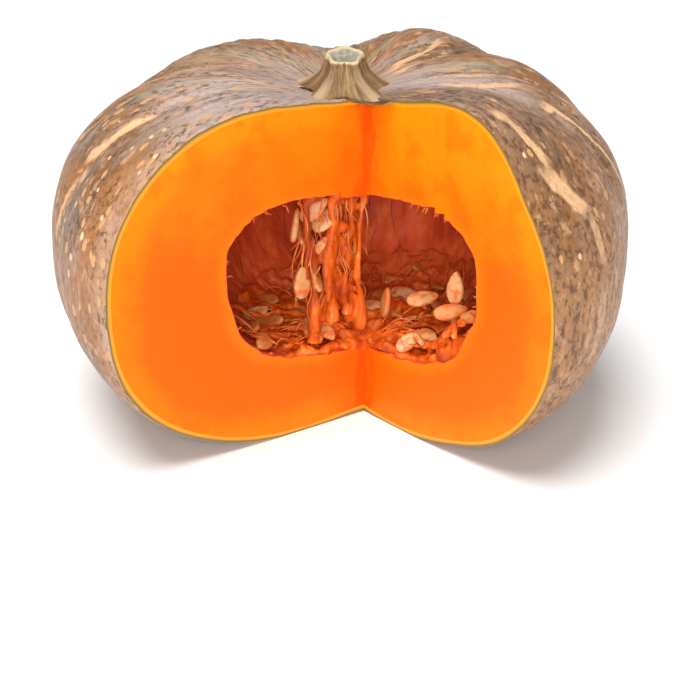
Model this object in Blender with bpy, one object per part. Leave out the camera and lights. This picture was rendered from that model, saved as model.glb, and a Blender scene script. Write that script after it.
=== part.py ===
# A ripe, flattened pumpkin of the grey-green Kent kind with one wedge cut out and taken away.
# Metres, +Z up. The fruit stands on the surface at z = 0. The wedge opens towards -Y.
# Azimuths are in degrees, 0 towards -Y and positive towards +X.

import math
import random

import bmesh
import bpy
from mathutils import Matrix, Vector

# The fruit
RADIUS = 0.1255
HALF_HEIGHT = 0.0835
SIDE_POWER = 0.80
CROWN_POWER = 0.855
STEM_HOLLOW = 0.0155
STEM_HOLLOW_WIDTH = 0.048
BLOSSOM_HOLLOW = 0.0062
BLOSSOM_HOLLOW_WIDTH = 0.034
FOOT_FLAT = 0.0009
RIND = 0.0025
GAP = 0.0003

# The lobes: where each furrow runs, and how much each lobe's shoulder stands above the mean
FURROWS = (-162, -110, -75, -28, 2, 28, 79, 103, 128, 172)
LOBE_RISE = (0.0005, 0.0, 0.0, 0.0, 0.0, 0.0, 0.0, 0.0010, 0.0030, -0.0110)
FURROW_DEPTH_SHOULDER = 0.0052
FURROW_DEPTH_SIDE = 0.0024
FURROW_DEPTH_BASE = 0.0036
LOBE_ROUNDNESS = 0.62
LEFT_BULGE = 0.012
UNEVEN = 0.004

# A swelling of one side: how much its shoulder and its lower half stand out, where, and how wide in degrees
SHOULDER_SWELL = 0.0080
SIDE_SWELL = 0.0022
SWELL_AT = 42.0
SWELL_WIDTH = 28.0

# The wedge: where the two cuts meet, and the azimuth of each
APEX = (0.0088, -0.0125)
LEFT_CUT = -56.0
RIGHT_CUT = 42.0
WEDGE_REACH = 0.25
WEDGE_HALF_HEIGHT = 0.12

# The seed cavity, which reaches a little further out towards one side
CAVITY_CENTRE = (0.006, -0.003, 0.009)
CAVITY_RADIUS = 0.0715
CAVITY_ABOVE = 0.0236
CAVITY_BELOW = 0.0545
CAVITY_POWER = 3.0
CAVITY_STRETCH = 0.08
CAVITY_STRETCH_AT = 40.0
CAVITY_WAVE = 0.012
ROOF_DROP = 0.008
ROOF_DROP_WIDTH = 0.035

# The stem
STEM_HEIGHT = 0.0165
STEM_FOOT_RADIUS = 0.0165
STEM_RIDGES = 5
STEM_FIRST_RIDGE = 20.0
STEM_TILT = 0.19
STEM_LOWER_AT = (0.4, 1.0)
STEM_CUT_SHARE = 0.95
# Its rings, from the buried root up to the cut top: share of the height, of the foot's radius, and ridge height
STEM_RINGS = (
    (-0.30, 1.12, 0.30),
    (0.0, 1.0, 0.30),
    (0.10, 0.84, 0.26),
    (0.26, 0.64, 0.20),
    (0.50, 0.53, 0.14),
    (0.78, 0.50, 0.11),
    (0.94, 0.52, 0.10),
    (1.0, 0.48, 0.09),
    (0.97, 0.30, 0.06),
)

# The seeds and the pulp that holds them
SEED_LENGTH = 0.0152
SEED_WIDTH = 0.0086
SEED_THICK = 0.0032
SEED_OUTLINE = ((0.08, 0.34), (0.30, 0.86), (0.58, 1.0), (0.86, 0.62))
SEED = 7
SPREAD = 0.618

# The curtain of pulp that hangs behind the left cut, in folds seen from above
CURTAIN_STRANDS = 15
CURTAIN_FIRST = -0.002
CURTAIN_LENGTH_ALONG = 0.029
CURTAIN_FRONT = 0.0045
CURTAIN_DEPTH = 0.0152
CURTAIN_FOLDS = 2
CURTAIN_DRIFT = 0.004
CURTAIN_ROOT = 0.004
CURTAIN_CLEAR = 0.0095
STRAND_RADIUS = 0.0034
STRAND_WAIST = 0.0008
STRAND_SWAY = 0.0016
STRAND_STEPS = 6
CURTAIN_SEEDS = 8
CURTAIN_SEED_FAR = 0.026
CURTAIN_SEED_SPAN = 0.017
CURTAIN_SEED_INSIDE = 0.0062
CURTAIN_SEED_DROP = 0.012
CURTAIN_SEED_FALL = 0.050

# The bed of pulp on the cavity's floor, banked up against the wall
BED_TOP = -0.0385
BED_BANK = 0.014
BED_BANK_RIGHT = 0.026
BED_BANK_RIGHT_AT = 62.0
BED_BANK_RIGHT_WIDTH = (15, 60)
BED_BANK_FROM = 0.040
BED_BANK_TO = 0.074
BED_WAVE = 0.0016
BED_RIPPLE = 0.0012
BED_REACH = 0.090
BED_ROOT = 0.006
BED_RINGS = 8
BED_COLUMNS = 32
BED_SEEDS = 22
BED_SEED_REACH = 0.060
BED_SEED_PROUD = 0.0008
BED_STRANDS = 9
BED_STRAND_RADIUS = 0.0022
BED_STRAND_FROM = 0.034
BED_STRAND_SPAN = 0.033
BED_STRAND_TURN = 14.0
BED_STRAND_APART = 26.0
BED_STRAND_FIRST = 54.0
BED_STRAND_ARCH = 0.0035
BED_STRAND_RISE = 0.004
BED_STRAND_STEPS = 5

# Faces
ROWS = 24
COLUMNS_PER_LOBE = 5
CAVITY_ROWS = 14
CAVITY_COLUMNS = 36
SHARP_ANGLE = 40.0
FINEST = 0.0001


def polar(azimuth, reach):
    angle = math.radians(azimuth)
    return Vector((math.sin(angle) * reach, -math.cos(angle) * reach, 0.0))


def signed_power(value, power):
    return math.copysign(abs(value) ** power, value)


def smooth(value, low, high):
    t = min(1.0, max(0.0, (value - low) / (high - low)))
    return t * t * (3 - 2 * t)


def meridian(theta):
    """Radius and height of the smooth body, from the stem (theta 0) to the blossom end (pi)."""
    reach = RADIUS * max(math.sin(theta), 0.0) ** SIDE_POWER
    height = HALF_HEIGHT * signed_power(math.cos(theta), CROWN_POWER)
    height -= STEM_HOLLOW * math.exp(-((reach / STEM_HOLLOW_WIDTH) ** 2)) * smooth(-theta, -1.6, -1.2)
    height += BLOSSOM_HOLLOW * math.exp(-((reach / BLOSSOM_HOLLOW_WIDTH) ** 2)) * smooth(theta, 1.9, 2.3)
    return reach, height


def meridian_normal(theta):
    step = 0.004
    before = meridian(max(theta - step, 0.0))
    after = meridian(min(theta + step, math.pi))
    run, drop = after[0] - before[0], after[1] - before[1]
    length = math.hypot(run, drop)
    return -drop / length, run / length


def lobe_of(azimuth):
    """The number of the lobe at this azimuth, and how far across it the azimuth lies, from 0 to 1."""
    turned = (azimuth - FURROWS[0]) % 360 + FURROWS[0]
    edges = FURROWS + (FURROWS[0] + 360,)
    for number in range(len(FURROWS)):
        if turned < edges[number + 1]:
            return number, (turned - edges[number]) / (edges[number + 1] - edges[number])
    return len(FURROWS) - 1, 1.0


def furrow_depth(theta):
    shoulder = smooth(theta, 0.10, 0.55)
    side = smooth(theta, 0.55, 1.35)
    base = smooth(theta, 1.75, 2.35)
    scar = 1 - smooth(theta, 2.55, 3.05)
    depth = FURROW_DEPTH_SHOULDER + (FURROW_DEPTH_SIDE - FURROW_DEPTH_SHOULDER) * side
    depth += (FURROW_DEPTH_BASE - FURROW_DEPTH_SIDE) * base
    return depth * shoulder * scar


def swelling(theta, azimuth):
    turn = (azimuth - SWELL_AT + 180) % 360 - 180
    shoulder = SHOULDER_SWELL * smooth(theta, 0.2, 0.55) * (1 - smooth(theta, 0.6, 1.05))
    side = SIDE_SWELL * smooth(theta, 1.15, 1.6) * (1 - smooth(theta, 2.3, 2.8))
    return (shoulder + side) * math.exp(-((turn / SWELL_WIDTH) ** 2))


def body_point(theta, azimuth):
    """A point of the fruit's skin, before it is set on its foot."""
    reach, height = meridian(theta)
    across, up = meridian_normal(theta)
    number, share = lobe_of(azimuth)
    crest = math.sin(math.pi * share) ** LOBE_ROUNDNESS if 0 < share < 1 else 0.0
    shoulder = smooth(theta, 0.15, 0.6) * (1 - smooth(theta, 0.9, 1.6))
    off = -furrow_depth(theta) * (1 - crest) + LOBE_RISE[number] * crest * shoulder + swelling(theta, azimuth)
    uneven = UNEVEN * math.sin(math.radians(3 * azimuth - 20)) - LEFT_BULGE * math.sin(math.radians(azimuth))
    reach = reach * (1 + uneven * math.sin(theta)) + across * off
    return polar(azimuth, reach) + Vector((0, 0, height + up * off))


def azimuths(per_lobe):
    """Columns that follow the furrows, so that each furrow and each crest is a line of points."""
    edges = FURROWS + (FURROWS[0] + 360,)
    spots = []
    for number in range(len(FURROWS)):
        for step in range(per_lobe):
            spots.append(edges[number] + (edges[number + 1] - edges[number]) * step / per_lobe)
    return spots


def even_thetas(rows):
    """Values of theta that are equal lengths apart along the meridian."""
    samples = 720
    length, lengths = 0.0, [0.0]
    last = meridian(0.0)
    for step in range(1, samples + 1):
        spot = meridian(math.pi * step / samples)
        length += math.hypot(spot[0] - last[0], spot[1] - last[1])
        lengths.append(length)
        last = spot
    thetas, index = [], 0
    for row in range(1, rows):
        wanted = length * row / rows
        while lengths[index + 1] < wanted:
            index += 1
        share = (wanted - lengths[index]) / (lengths[index + 1] - lengths[index])
        thetas.append(math.pi * (index + share) / samples)
    return thetas


def object_of(name, bm):
    bmesh.ops.recalc_face_normals(bm, faces=bm.faces)
    mesh = bpy.data.meshes.new(name)
    bm.to_mesh(mesh)
    bm.free()
    obj = bpy.data.objects.new(name, mesh)
    bpy.context.scene.collection.objects.link(obj)
    return obj


def closed_rings(name, rings, first, last):
    """A closed skin through rings of points, with a single point at each end."""
    bm = bmesh.new()
    loops = [[bm.verts.new(point) for point in ring] for ring in rings]
    start, end = bm.verts.new(first), bm.verts.new(last)
    count = len(loops[0])
    for spot in range(count):
        beside = (spot + 1) % count
        bm.faces.new((start, loops[0][beside], loops[0][spot]))
        bm.faces.new((end, loops[-1][spot], loops[-1][beside]))
        for upper, lower in zip(loops, loops[1:]):
            bm.faces.new((upper[spot], upper[beside], lower[beside], lower[spot]))
    return object_of(name, bm)


def split_to_triangles(obj):
    bm = bmesh.new()
    bm.from_mesh(obj.data)
    bmesh.ops.triangulate(bm, faces=bm.faces)
    bm.to_mesh(obj.data)
    bm.free()


def fruit_solid(name, inset):
    """The whole fruit with its skin moved inwards by inset."""
    thetas = even_thetas(ROWS)
    rings = [[body_point(theta, a) for a in azimuths(COLUMNS_PER_LOBE)] for theta in thetas]
    obj = closed_rings(name, rings, body_point(0, 0), body_point(math.pi, 0))
    split_to_triangles(obj)
    foot = min(v.co.z for v in obj.data.vertices) + FOOT_FLAT
    for v in obj.data.vertices:
        v.co.z = max(v.co.z, foot)
    normals = [v.normal.copy() for v in obj.data.vertices]
    for v, normal in zip(obj.data.vertices, normals):
        v.co -= normal * inset
    return obj, foot


def cavity_point(theta, azimuth, shrink):
    stretch = 1 + CAVITY_STRETCH * math.cos(math.radians(azimuth - CAVITY_STRETCH_AT))
    stretch += CAVITY_WAVE * math.sin(math.radians(5 * azimuth + 30))
    reach = (CAVITY_RADIUS * stretch - shrink) * math.sin(theta) ** (2 / CAVITY_POWER)
    half = (CAVITY_ABOVE if math.cos(theta) > 0 else CAVITY_BELOW) - shrink
    height = half * signed_power(math.cos(theta), 2 / CAVITY_POWER)
    height -= ROOF_DROP * math.exp(-((reach / ROOF_DROP_WIDTH) ** 2)) * smooth(-theta, -1.4, -0.9)
    return Vector(CAVITY_CENTRE) + polar(azimuth, reach) + Vector((0, 0, height))


def cavity_solid(name, shrink):
    thetas = [math.pi * row / CAVITY_ROWS for row in range(1, CAVITY_ROWS)]
    turns = [360 * column / CAVITY_COLUMNS for column in range(CAVITY_COLUMNS)]
    rings = [[cavity_point(theta, turn, shrink) for turn in turns] for theta in thetas]
    below = Vector(CAVITY_CENTRE) - Vector((0, 0, CAVITY_BELOW - shrink))
    return closed_rings(name, rings, cavity_point(0.0, 0, shrink), below)


def wedge_solid(name):
    """The three-sided block of space that the wedge leaves, past the fruit on every side."""
    apex = Vector((APEX[0], APEX[1], -WEDGE_HALF_HEIGHT))
    corners = (apex, apex + polar(LEFT_CUT, WEDGE_REACH), apex + polar(RIGHT_CUT, WEDGE_REACH))
    bm = bmesh.new()
    base = bm.faces.new([bm.verts.new(corner) for corner in corners])
    raised = bmesh.ops.extrude_face_region(bm, geom=[base])
    moved = [item for item in raised["geom"] if isinstance(item, bmesh.types.BMVert)]
    bmesh.ops.translate(bm, verts=moved, vec=(0, 0, 2 * WEDGE_HALF_HEIGHT))
    return object_of(name, bm)


def apply_boolean(obj, other, operation, solver="EXACT"):
    modifier = obj.modifiers.new(operation.lower(), "BOOLEAN")
    modifier.operation = operation
    modifier.solver = solver
    if isinstance(other, bpy.types.Collection):
        modifier.operand_type = "COLLECTION"
        modifier.collection = other
    else:
        modifier.object = other
    graph = bpy.context.evaluated_depsgraph_get()
    mesh = bpy.data.meshes.new_from_object(obj.evaluated_get(graph))
    obj.modifiers.clear()
    obj.data = mesh


def remove(*objects):
    for obj in objects:
        bpy.data.objects.remove(obj)


def join_pieces(name, pieces):
    """One closed body from pieces that overlap each other."""
    base, rest = pieces[0], pieces[1:]
    base.name = name
    group = bpy.data.collections.new(name + "_pieces")
    bpy.context.scene.collection.children.link(group)
    for piece in rest:
        bpy.context.scene.collection.objects.unlink(piece)
        group.objects.link(piece)
    apply_boolean(base, group, "UNION")
    remove(*rest)
    bpy.data.collections.remove(group)
    return base


def keep_largest(obj):
    """Drops loose scraps that a cut has left."""
    bm = bmesh.new()
    bm.from_mesh(obj.data)
    bm.verts.ensure_lookup_table()
    left, bodies = set(bm.verts), []
    while left:
        found, edge = set(), [left.pop()]
        while edge:
            v = edge.pop()
            found.add(v)
            for e in v.link_edges:
                other = e.other_vert(v)
                if other in left:
                    left.discard(other)
                    edge.append(other)
        bodies.append(found)
    bodies.sort(key=len)
    bmesh.ops.delete(bm, geom=[v for body in bodies[:-1] for v in body], context="VERTS")
    bmesh.ops.dissolve_degenerate(bm, dist=FINEST / 10, edges=bm.edges)
    bm.to_mesh(obj.data)
    bm.free()


def stem_solid(name, bottom):
    """A corky five-ridged stump whose ridges spread into feet, with a slightly sloping cut top."""
    columns = 8 * STEM_RIDGES
    rings = []
    for share, width, ridge in STEM_RINGS:
        ring = []
        for column in range(columns):
            azimuth = 360 * column / columns
            wave = math.cos(math.radians(STEM_RIDGES * (azimuth - STEM_FIRST_RIDGE)))
            reach = STEM_FOOT_RADIUS * width * (1 + ridge * signed_power(wave, 0.8))
            point = polar(azimuth, reach)
            tilt = STEM_TILT * point.y * smooth(share, *STEM_LOWER_AT)
            ring.append(point + Vector((0, 0, bottom + STEM_HEIGHT * share + tilt)))
        rings.append(ring)
    first = Vector((0, 0, bottom + STEM_HEIGHT * STEM_RINGS[0][0]))
    last = Vector((0, 0, bottom + STEM_HEIGHT * STEM_CUT_SHARE))
    return closed_rings(name, rings, first, last)


def seed_solid(spot, along, face):
    """A flat seed with a pointed root end, at spot, pointing along, with its flat side to face."""
    rings = []
    for share, width in SEED_OUTLINE:
        ring = []
        for corner in range(6):
            angle = math.radians(60 * corner)
            side = math.cos(angle) * SEED_WIDTH * width / 2
            thick = math.sin(angle) * SEED_THICK * (0.5 + width / 2) / 2
            ring.append(Vector((side, thick, SEED_LENGTH * (share - 0.5))))
        rings.append(ring)
    obj = closed_rings("seed", rings, Vector((0, 0, -SEED_LENGTH / 2)), Vector((0, 0, SEED_LENGTH / 2)))
    long_axis = along.normalized()
    flat_axis = (face - long_axis * face.dot(long_axis)).normalized()
    side_axis = flat_axis.cross(long_axis)
    turn = Matrix((side_axis, flat_axis, long_axis)).transposed().to_4x4()
    obj.data.transform(Matrix.Translation(spot) @ turn)
    return obj


def strand_solid(points, radii, sides=5):
    """A pulp strand: a tube through points, as wide at each as radii says, closed to a point at both ends."""
    rings = []
    for number, (point, radius) in enumerate(zip(points, radii)):
        before = points[max(number - 1, 0)]
        after = points[min(number + 1, len(points) - 1)]
        along = (after - before).normalized()
        side = along.cross(Vector((0.31, 0.93, 0.19))).normalized()
        other = along.cross(side)
        turns = [math.tau * corner / sides for corner in range(sides)]
        rings.append([point + (side * math.cos(t) + other * math.sin(t)) * radius for t in turns])
    ends = points[0] - (points[1] - points[0]).normalized() * radii[0]
    tip = points[-1] + (points[-1] - points[-2]).normalized() * radii[-1]
    return closed_rings("strand", rings, ends, tip)


def behind_left_cut(along, inside, height):
    """A point behind the left cut: along it from the apex, inside the fruit, at a height."""
    return Vector((APEX[0], APEX[1], height)) + polar(LEFT_CUT, along) + polar(LEFT_CUT - 90, inside)


def curtain_strand(share, dice):
    """One strand of the curtain, from the roof down to just above the bed; share is its place along the curtain."""
    roof = CAVITY_CENTRE[2] + CAVITY_ABOVE + CURTAIN_ROOT
    floor = BED_TOP + CURTAIN_CLEAR
    along = CURTAIN_FIRST + CURTAIN_LENGTH_ALONG * share
    inside = CURTAIN_FRONT + CURTAIN_DEPTH * (0.5 - 0.5 * math.cos(math.tau * CURTAIN_FOLDS * share))
    drift = CURTAIN_DRIFT * math.sin(5 * share)
    points, radii = [], []
    for step in range(STRAND_STEPS + 1):
        fall = step / STRAND_STEPS
        sway = STRAND_SWAY * math.sin(6 * fall + 9 * share)
        points.append(behind_left_cut(along + sway + drift * fall, inside - sway, roof + (floor - roof) * fall))
        radii.append((STRAND_RADIUS - STRAND_WAIST * math.sin(math.pi * fall)) * dice.uniform(0.9, 1.15))
    return strand_solid(points, radii)


def pulp_curtain(name, dice):
    """Fibres and seeds that hang from the cavity's roof just behind the left cut, near the middle."""
    pieces = [curtain_strand((number + 0.5) / CURTAIN_STRANDS, dice) for number in range(CURTAIN_STRANDS)]
    highest = CAVITY_CENTRE[2] + CAVITY_ABOVE + CURTAIN_ROOT - CURTAIN_SEED_DROP
    for number in range(CURTAIN_SEEDS):
        height = highest - CURTAIN_SEED_FALL * (number + 0.5) / CURTAIN_SEEDS
        along = CURTAIN_SEED_FAR - CURTAIN_SEED_SPAN * ((number * (1 - SPREAD)) % 1.0)
        spot = behind_left_cut(along, CURTAIN_SEED_INSIDE, height)
        tilt = Vector((dice.uniform(-0.7, 0.7), dice.uniform(-0.25, 0.25), 1.0))
        pieces.append(seed_solid(spot, tilt, Vector((-0.3, -1.0, 0.1))))
    return join_pieces(name, pieces)


def bed_height(azimuth, reach):
    """Height of the pulp on the cavity's floor: it banks up against the wall, most of all to one side."""
    turn = abs((azimuth - BED_BANK_RIGHT_AT + 180) % 360 - 180)
    bank = BED_BANK + (BED_BANK_RIGHT - BED_BANK) * (1 - smooth(turn, *BED_BANK_RIGHT_WIDTH))
    wave = BED_WAVE * math.sin(reach * 260 + math.radians(azimuth * 3))
    wave += BED_RIPPLE * math.sin(math.radians(azimuth * 8))
    return BED_TOP + bank * smooth(reach, BED_BANK_FROM, BED_BANK_TO) + wave * smooth(reach, 0.0, 0.02)


def bed_spot(azimuth, reach, lift=0.0):
    middle = Vector((CAVITY_CENTRE[0], CAVITY_CENTRE[1], 0))
    return middle + polar(azimuth, reach) + Vector((0, 0, bed_height(azimuth, reach) + lift))


def bed_slab(name):
    """The bed itself: its wavy top out past the cavity's wall, and a flat underside below the cavity's floor."""
    floor = CAVITY_CENTRE[2] - CAVITY_BELOW - BED_ROOT
    middle = Vector((CAVITY_CENTRE[0], CAVITY_CENTRE[1], floor))
    turns = [360 * column / BED_COLUMNS for column in range(BED_COLUMNS)]
    rings = [[bed_spot(turn, BED_REACH * ring / BED_RINGS) for turn in turns] for ring in range(1, BED_RINGS + 1)]
    rings.append([middle + polar(turn, BED_REACH) for turn in turns])
    return closed_rings(name, rings, bed_spot(0, 0), middle)


def bed_strand(azimuth):
    """A strand that lies on the bed and climbs the bank."""
    points = []
    for step in range(BED_STRAND_STEPS + 1):
        share = step / BED_STRAND_STEPS
        lift = BED_STRAND_ARCH * math.sin(math.pi * share) + BED_STRAND_RISE * share * share
        points.append(bed_spot(azimuth + BED_STRAND_TURN * share, BED_STRAND_FROM + BED_STRAND_SPAN * share, lift))
    return strand_solid(points, [BED_STRAND_RADIUS] * len(points))


def pulp_bed(name, dice):
    """The bed of pulp and seeds on the cavity's floor."""
    pieces = [bed_slab(name)]
    for number in range(BED_SEEDS):
        azimuth = 360 * ((number + 1) * SPREAD % 1.0)
        reach = BED_SEED_REACH * math.sqrt((number + 0.5) / BED_SEEDS)
        turn = dice.uniform(0, math.tau)
        along = Vector((math.cos(turn), math.sin(turn), dice.uniform(0.1, 0.7)))
        pieces.append(seed_solid(bed_spot(azimuth, reach, BED_SEED_PROUD), along, Vector((0.2, -0.5, 0.6))))
    for number in range(BED_STRANDS):
        pieces.append(bed_strand(BED_STRAND_FIRST + number * BED_STRAND_APART))
    return join_pieces(name, pieces)


def material(name, colour, roughness):
    made = bpy.data.materials.new(name)
    made.use_nodes = True
    shader = made.node_tree.nodes["Principled BSDF"]
    shader.inputs["Base Color"].default_value = (*colour, 1.0)
    shader.inputs["Roughness"].default_value = roughness
    shader.inputs["Metallic"].default_value = 0.0
    return made


def finish(obj, made, raise_by, back_by):
    obj.data.materials.clear()
    obj.data.materials.append(made)
    obj.data.transform(Matrix.Translation((-back_by[0], -back_by[1], raise_by)))
    obj.data.shade_smooth()
    obj.data.set_sharp_from_angle(angle=math.radians(SHARP_ANGLE))


def clear_scene():
    for obj in list(bpy.data.objects):
        bpy.data.objects.remove(obj)


def main():
    clear_scene()
    skin, foot = fruit_solid("rind", 0.0)
    inner, _ = fruit_solid("inner", RIND)
    flesh, _ = fruit_solid("flesh", RIND + GAP)
    above, _ = fruit_solid("above", -GAP)
    wedge = wedge_solid("wedge")
    cavity = cavity_solid("cavity", 0.0)
    apply_boolean(skin, wedge, "DIFFERENCE")
    apply_boolean(skin, inner, "DIFFERENCE")
    apply_boolean(flesh, wedge, "DIFFERENCE")
    apply_boolean(flesh, cavity, "DIFFERENCE")
    stem = stem_solid("stem", body_point(0, 0).z)
    apply_boolean(stem, above, "DIFFERENCE")
    keep_largest(stem)
    inside = cavity_solid("inside", GAP)
    curtain = pulp_curtain("pulp_curtain", random.Random(SEED))
    apply_boolean(curtain, inside, "INTERSECT")
    bed = pulp_bed("pulp_bed", random.Random(SEED + 1))
    apply_boolean(bed, inside, "INTERSECT")
    apply_boolean(bed, wedge, "DIFFERENCE")
    keep_largest(curtain)
    keep_largest(bed)
    remove(inner, above, wedge, cavity, inside)
    low = [min(v.co[axis] for v in skin.data.vertices) for axis in range(3)]
    high = [max(v.co[axis] for v in skin.data.vertices) for axis in range(3)]
    middle = [(low[axis] + high[axis]) / 2 for axis in range(2)]
    finish(skin, material("rind_skin", (0.33, 0.28, 0.20), 0.5), -foot, middle)
    finish(flesh, material("ripe_flesh", (0.95, 0.30, 0.02), 0.4), -foot, middle)
    finish(stem, material("corky_stem", (0.45, 0.38, 0.24), 0.8), -foot, middle)
    finish(curtain, material("stringy_pulp", (0.85, 0.28, 0.04), 0.45), -foot, middle)
    finish(bed, material("seedy_pulp", (0.75, 0.25, 0.05), 0.45), -foot, middle)


main()
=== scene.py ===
import math
import random

import bmesh
import bpy
import numpy as np
from mathutils import Matrix, Vector, noise


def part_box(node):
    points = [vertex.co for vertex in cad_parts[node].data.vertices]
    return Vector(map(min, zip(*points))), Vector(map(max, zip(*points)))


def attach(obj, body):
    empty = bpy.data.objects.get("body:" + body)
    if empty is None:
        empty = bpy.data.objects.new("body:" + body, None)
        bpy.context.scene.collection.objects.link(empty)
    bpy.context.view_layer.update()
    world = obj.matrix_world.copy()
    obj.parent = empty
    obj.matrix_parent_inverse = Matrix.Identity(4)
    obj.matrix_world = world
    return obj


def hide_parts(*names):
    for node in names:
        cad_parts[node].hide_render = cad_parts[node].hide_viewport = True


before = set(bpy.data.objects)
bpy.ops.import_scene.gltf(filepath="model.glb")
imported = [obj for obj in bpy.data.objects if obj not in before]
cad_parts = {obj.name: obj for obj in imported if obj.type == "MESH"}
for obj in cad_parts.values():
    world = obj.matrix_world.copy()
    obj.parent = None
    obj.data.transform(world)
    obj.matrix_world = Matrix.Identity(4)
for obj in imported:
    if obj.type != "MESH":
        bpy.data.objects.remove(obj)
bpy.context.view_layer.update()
print("frame loaded")


# Small tools

def toLinear(hexColour):  # sRGB hex to the linear colour that a shader wants
    channels = [int(hexColour[i:i + 2], 16) / 255 for i in (1, 3, 5)]
    linear = [c / 12.92 if c <= 0.04045 else ((c + 0.055) / 1.055) ** 2.4 for c in channels]
    return (*linear, 1.0)


def add(tree, kind, inputs=None, out=0, stops=None, **settings):  # a node, its settings and its links
    prefixes = ("ShaderNode",) if tree.bl_idname == "ShaderNodeTree" else ("GeometryNode", "FunctionNode", "ShaderNode")
    made = tree.nodes.new(next(prefix + kind for prefix in prefixes if hasattr(bpy.types, prefix + kind)))
    for name, value in settings.items():
        setattr(made, name, value)
    for key, value in (inputs or {}).items():
        if isinstance(value, bpy.types.NodeSocket):
            tree.links.new(value, made.inputs[key])
        else:
            made.inputs[key].default_value = toLinear(value) if str(value).startswith("#") else value
    if stops:
        while len(made.color_ramp.elements) < len(stops):
            made.color_ramp.elements.new(0.5)
        for element, (position, colour) in zip(made.color_ramp.elements, stops):
            element.position = position
            element.color = toLinear(colour)
    return made.outputs[out]


smooth = {"interpolation_type": "SMOOTHSTEP"}
blend = {"data_type": "RGBA", "out": 2}


def newMaterial(name):
    material = bpy.data.materials.new(name)
    material.use_nodes = True
    return material, material.node_tree, material.node_tree.nodes["Principled BSDF"]


def smoothStep(value, low, high):
    t = np.clip((value - low) / (high - low), 0, 1)
    return t * t * (3 - 2 * t)


def polar(azimuth, reach):  # 0 degrees looks out of the cut, positive turns to +X
    angle = np.radians(azimuth)
    return np.stack([np.sin(angle) * reach, -np.cos(angle) * reach, np.zeros_like(angle * reach)], -1)


noiseLattice = np.random.RandomState(11).rand(32, 32, 32)


def softNoise(points, cell):  # smooth noise from -1 to 1, with lumps as wide as cell
    spots = points / cell
    base = np.floor(spots).astype(int)
    part = spots - base
    part = part * part * (3 - 2 * part)
    total = 0
    for corner in range(8):
        step = np.array([corner & 1, corner >> 1 & 1, corner >> 2 & 1])
        at = (base + step) % 32
        weight = np.prod(np.where(step == 1, part, 1 - part), -1)
        total = total + weight * noiseLattice[at[..., 0], at[..., 1], at[..., 2]]
    return 2 * total - 1


def meshObject(name, points, faces, attributes=None, sharpAngle=None):
    mesh = bpy.data.meshes.new(name)
    mesh.from_pydata([tuple(p) for p in points], [], [tuple(f) for f in faces])
    for key, values in (attributes or {}).items():
        kind = "FLOAT_VECTOR" if values.ndim == 2 else "FLOAT"
        layer = mesh.attributes.new(key, kind, "POINT")
        layer.data.foreach_set("vector" if values.ndim == 2 else "value", values.astype(np.float32).ravel())
    obj = bpy.data.objects.new(name, mesh)
    bpy.context.scene.collection.objects.link(obj)
    tidyMesh(obj, sharpAngle)
    return obj


def tidyMesh(obj, sharpAngle=None):  # merges doubles, turns all faces outwards, shades smooth
    bm = bmesh.new()
    bm.from_mesh(obj.data)
    bmesh.ops.remove_doubles(bm, verts=bm.verts, dist=2e-6)
    bmesh.ops.dissolve_degenerate(bm, dist=1e-6, edges=bm.edges)
    bmesh.ops.recalc_face_normals(bm, faces=bm.faces)
    bm.to_mesh(obj.data)
    bm.free()
    obj.data.shade_smooth()
    if sharpAngle:
        obj.data.set_sharp_from_angle(angle=math.radians(sharpAngle))


def gridFaces(rows, columns, start=0, flip=False):
    row, column = np.meshgrid(np.arange(rows - 1), np.arange(columns - 1), indexing="ij")
    a = start + row * columns + column
    quads = np.stack([a, a + 1, a + columns + 1, a + columns], -1).reshape(-1, 4)
    return quads[:, ::-1] if flip else quads


# The fruit's form: the same driving sizes as its solids, in metres and degrees

fruit = {
    "radius": 0.1255,
    "halfHeight": 0.0835,
    "sidePower": 0.80,
    "crownPower": 0.855,
    "stemHollow": 0.0155,
    "stemHollowWidth": 0.048,
    "blossomHollow": 0.0062,
    "blossomHollowWidth": 0.034,
    "footFlat": 0.0009,
    "furrows": (-162, -110, -75, -28, 2, 28, 79, 103, 128, 172),
    "lobeRise": (0.0005, 0.0, 0.0, 0.0, 0.0, 0.0, 0.0, 0.0010, 0.0030, -0.0110),
    "furrowShoulder": 0.0052,
    "furrowSide": 0.0024,
    "furrowBase": 0.0036,
    "lobeRoundness": 0.62,
    "furrowSoftness": 0.010,
    "leftBulge": 0.012,
    "uneven": 0.004,
    "shoulderSwell": 0.0080,
    "sideSwell": 0.0022,
    "swellAt": 42.0,
    "swellWidth": 28.0,
    "apex": (0.0088, -0.0125),
    "leftCut": -56.0,
    "rightCut": 42.0,
    "rindThickness": 0.0025,
    "seam": 0.00002,
}


def meridian(theta):
    reach = fruit["radius"] * np.sin(theta) ** fruit["sidePower"]
    cosine = np.cos(theta)
    height = fruit["halfHeight"] * np.sign(cosine) * np.abs(cosine) ** fruit["crownPower"]
    top = np.exp(-((reach / fruit["stemHollowWidth"]) ** 2)) * smoothStep(-theta, -1.6, -1.2)
    low = np.exp(-((reach / fruit["blossomHollowWidth"]) ** 2)) * smoothStep(theta, 1.9, 2.3)
    return reach, height - fruit["stemHollow"] * top + fruit["blossomHollow"] * low


def lobeOf(azimuth):  # which lobe an azimuth is on, and how far across it, from 0 to 1
    edges = np.array(fruit["furrows"] + (fruit["furrows"][0] + 360,), float)
    turned = (azimuth - edges[0]) % 360 + edges[0]
    number = np.clip(np.searchsorted(edges, turned, side="right") - 1, 0, len(edges) - 2)
    share = (turned - edges[number]) / (edges[number + 1] - edges[number])
    return number, share


def lobeCrest(share):
    soft = fruit["furrowSoftness"]
    power = fruit["lobeRoundness"] / 2
    low = soft ** power
    return ((np.sin(np.pi * share) ** 2 + soft) ** power - low) / ((1 + soft) ** power - low)


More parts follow.
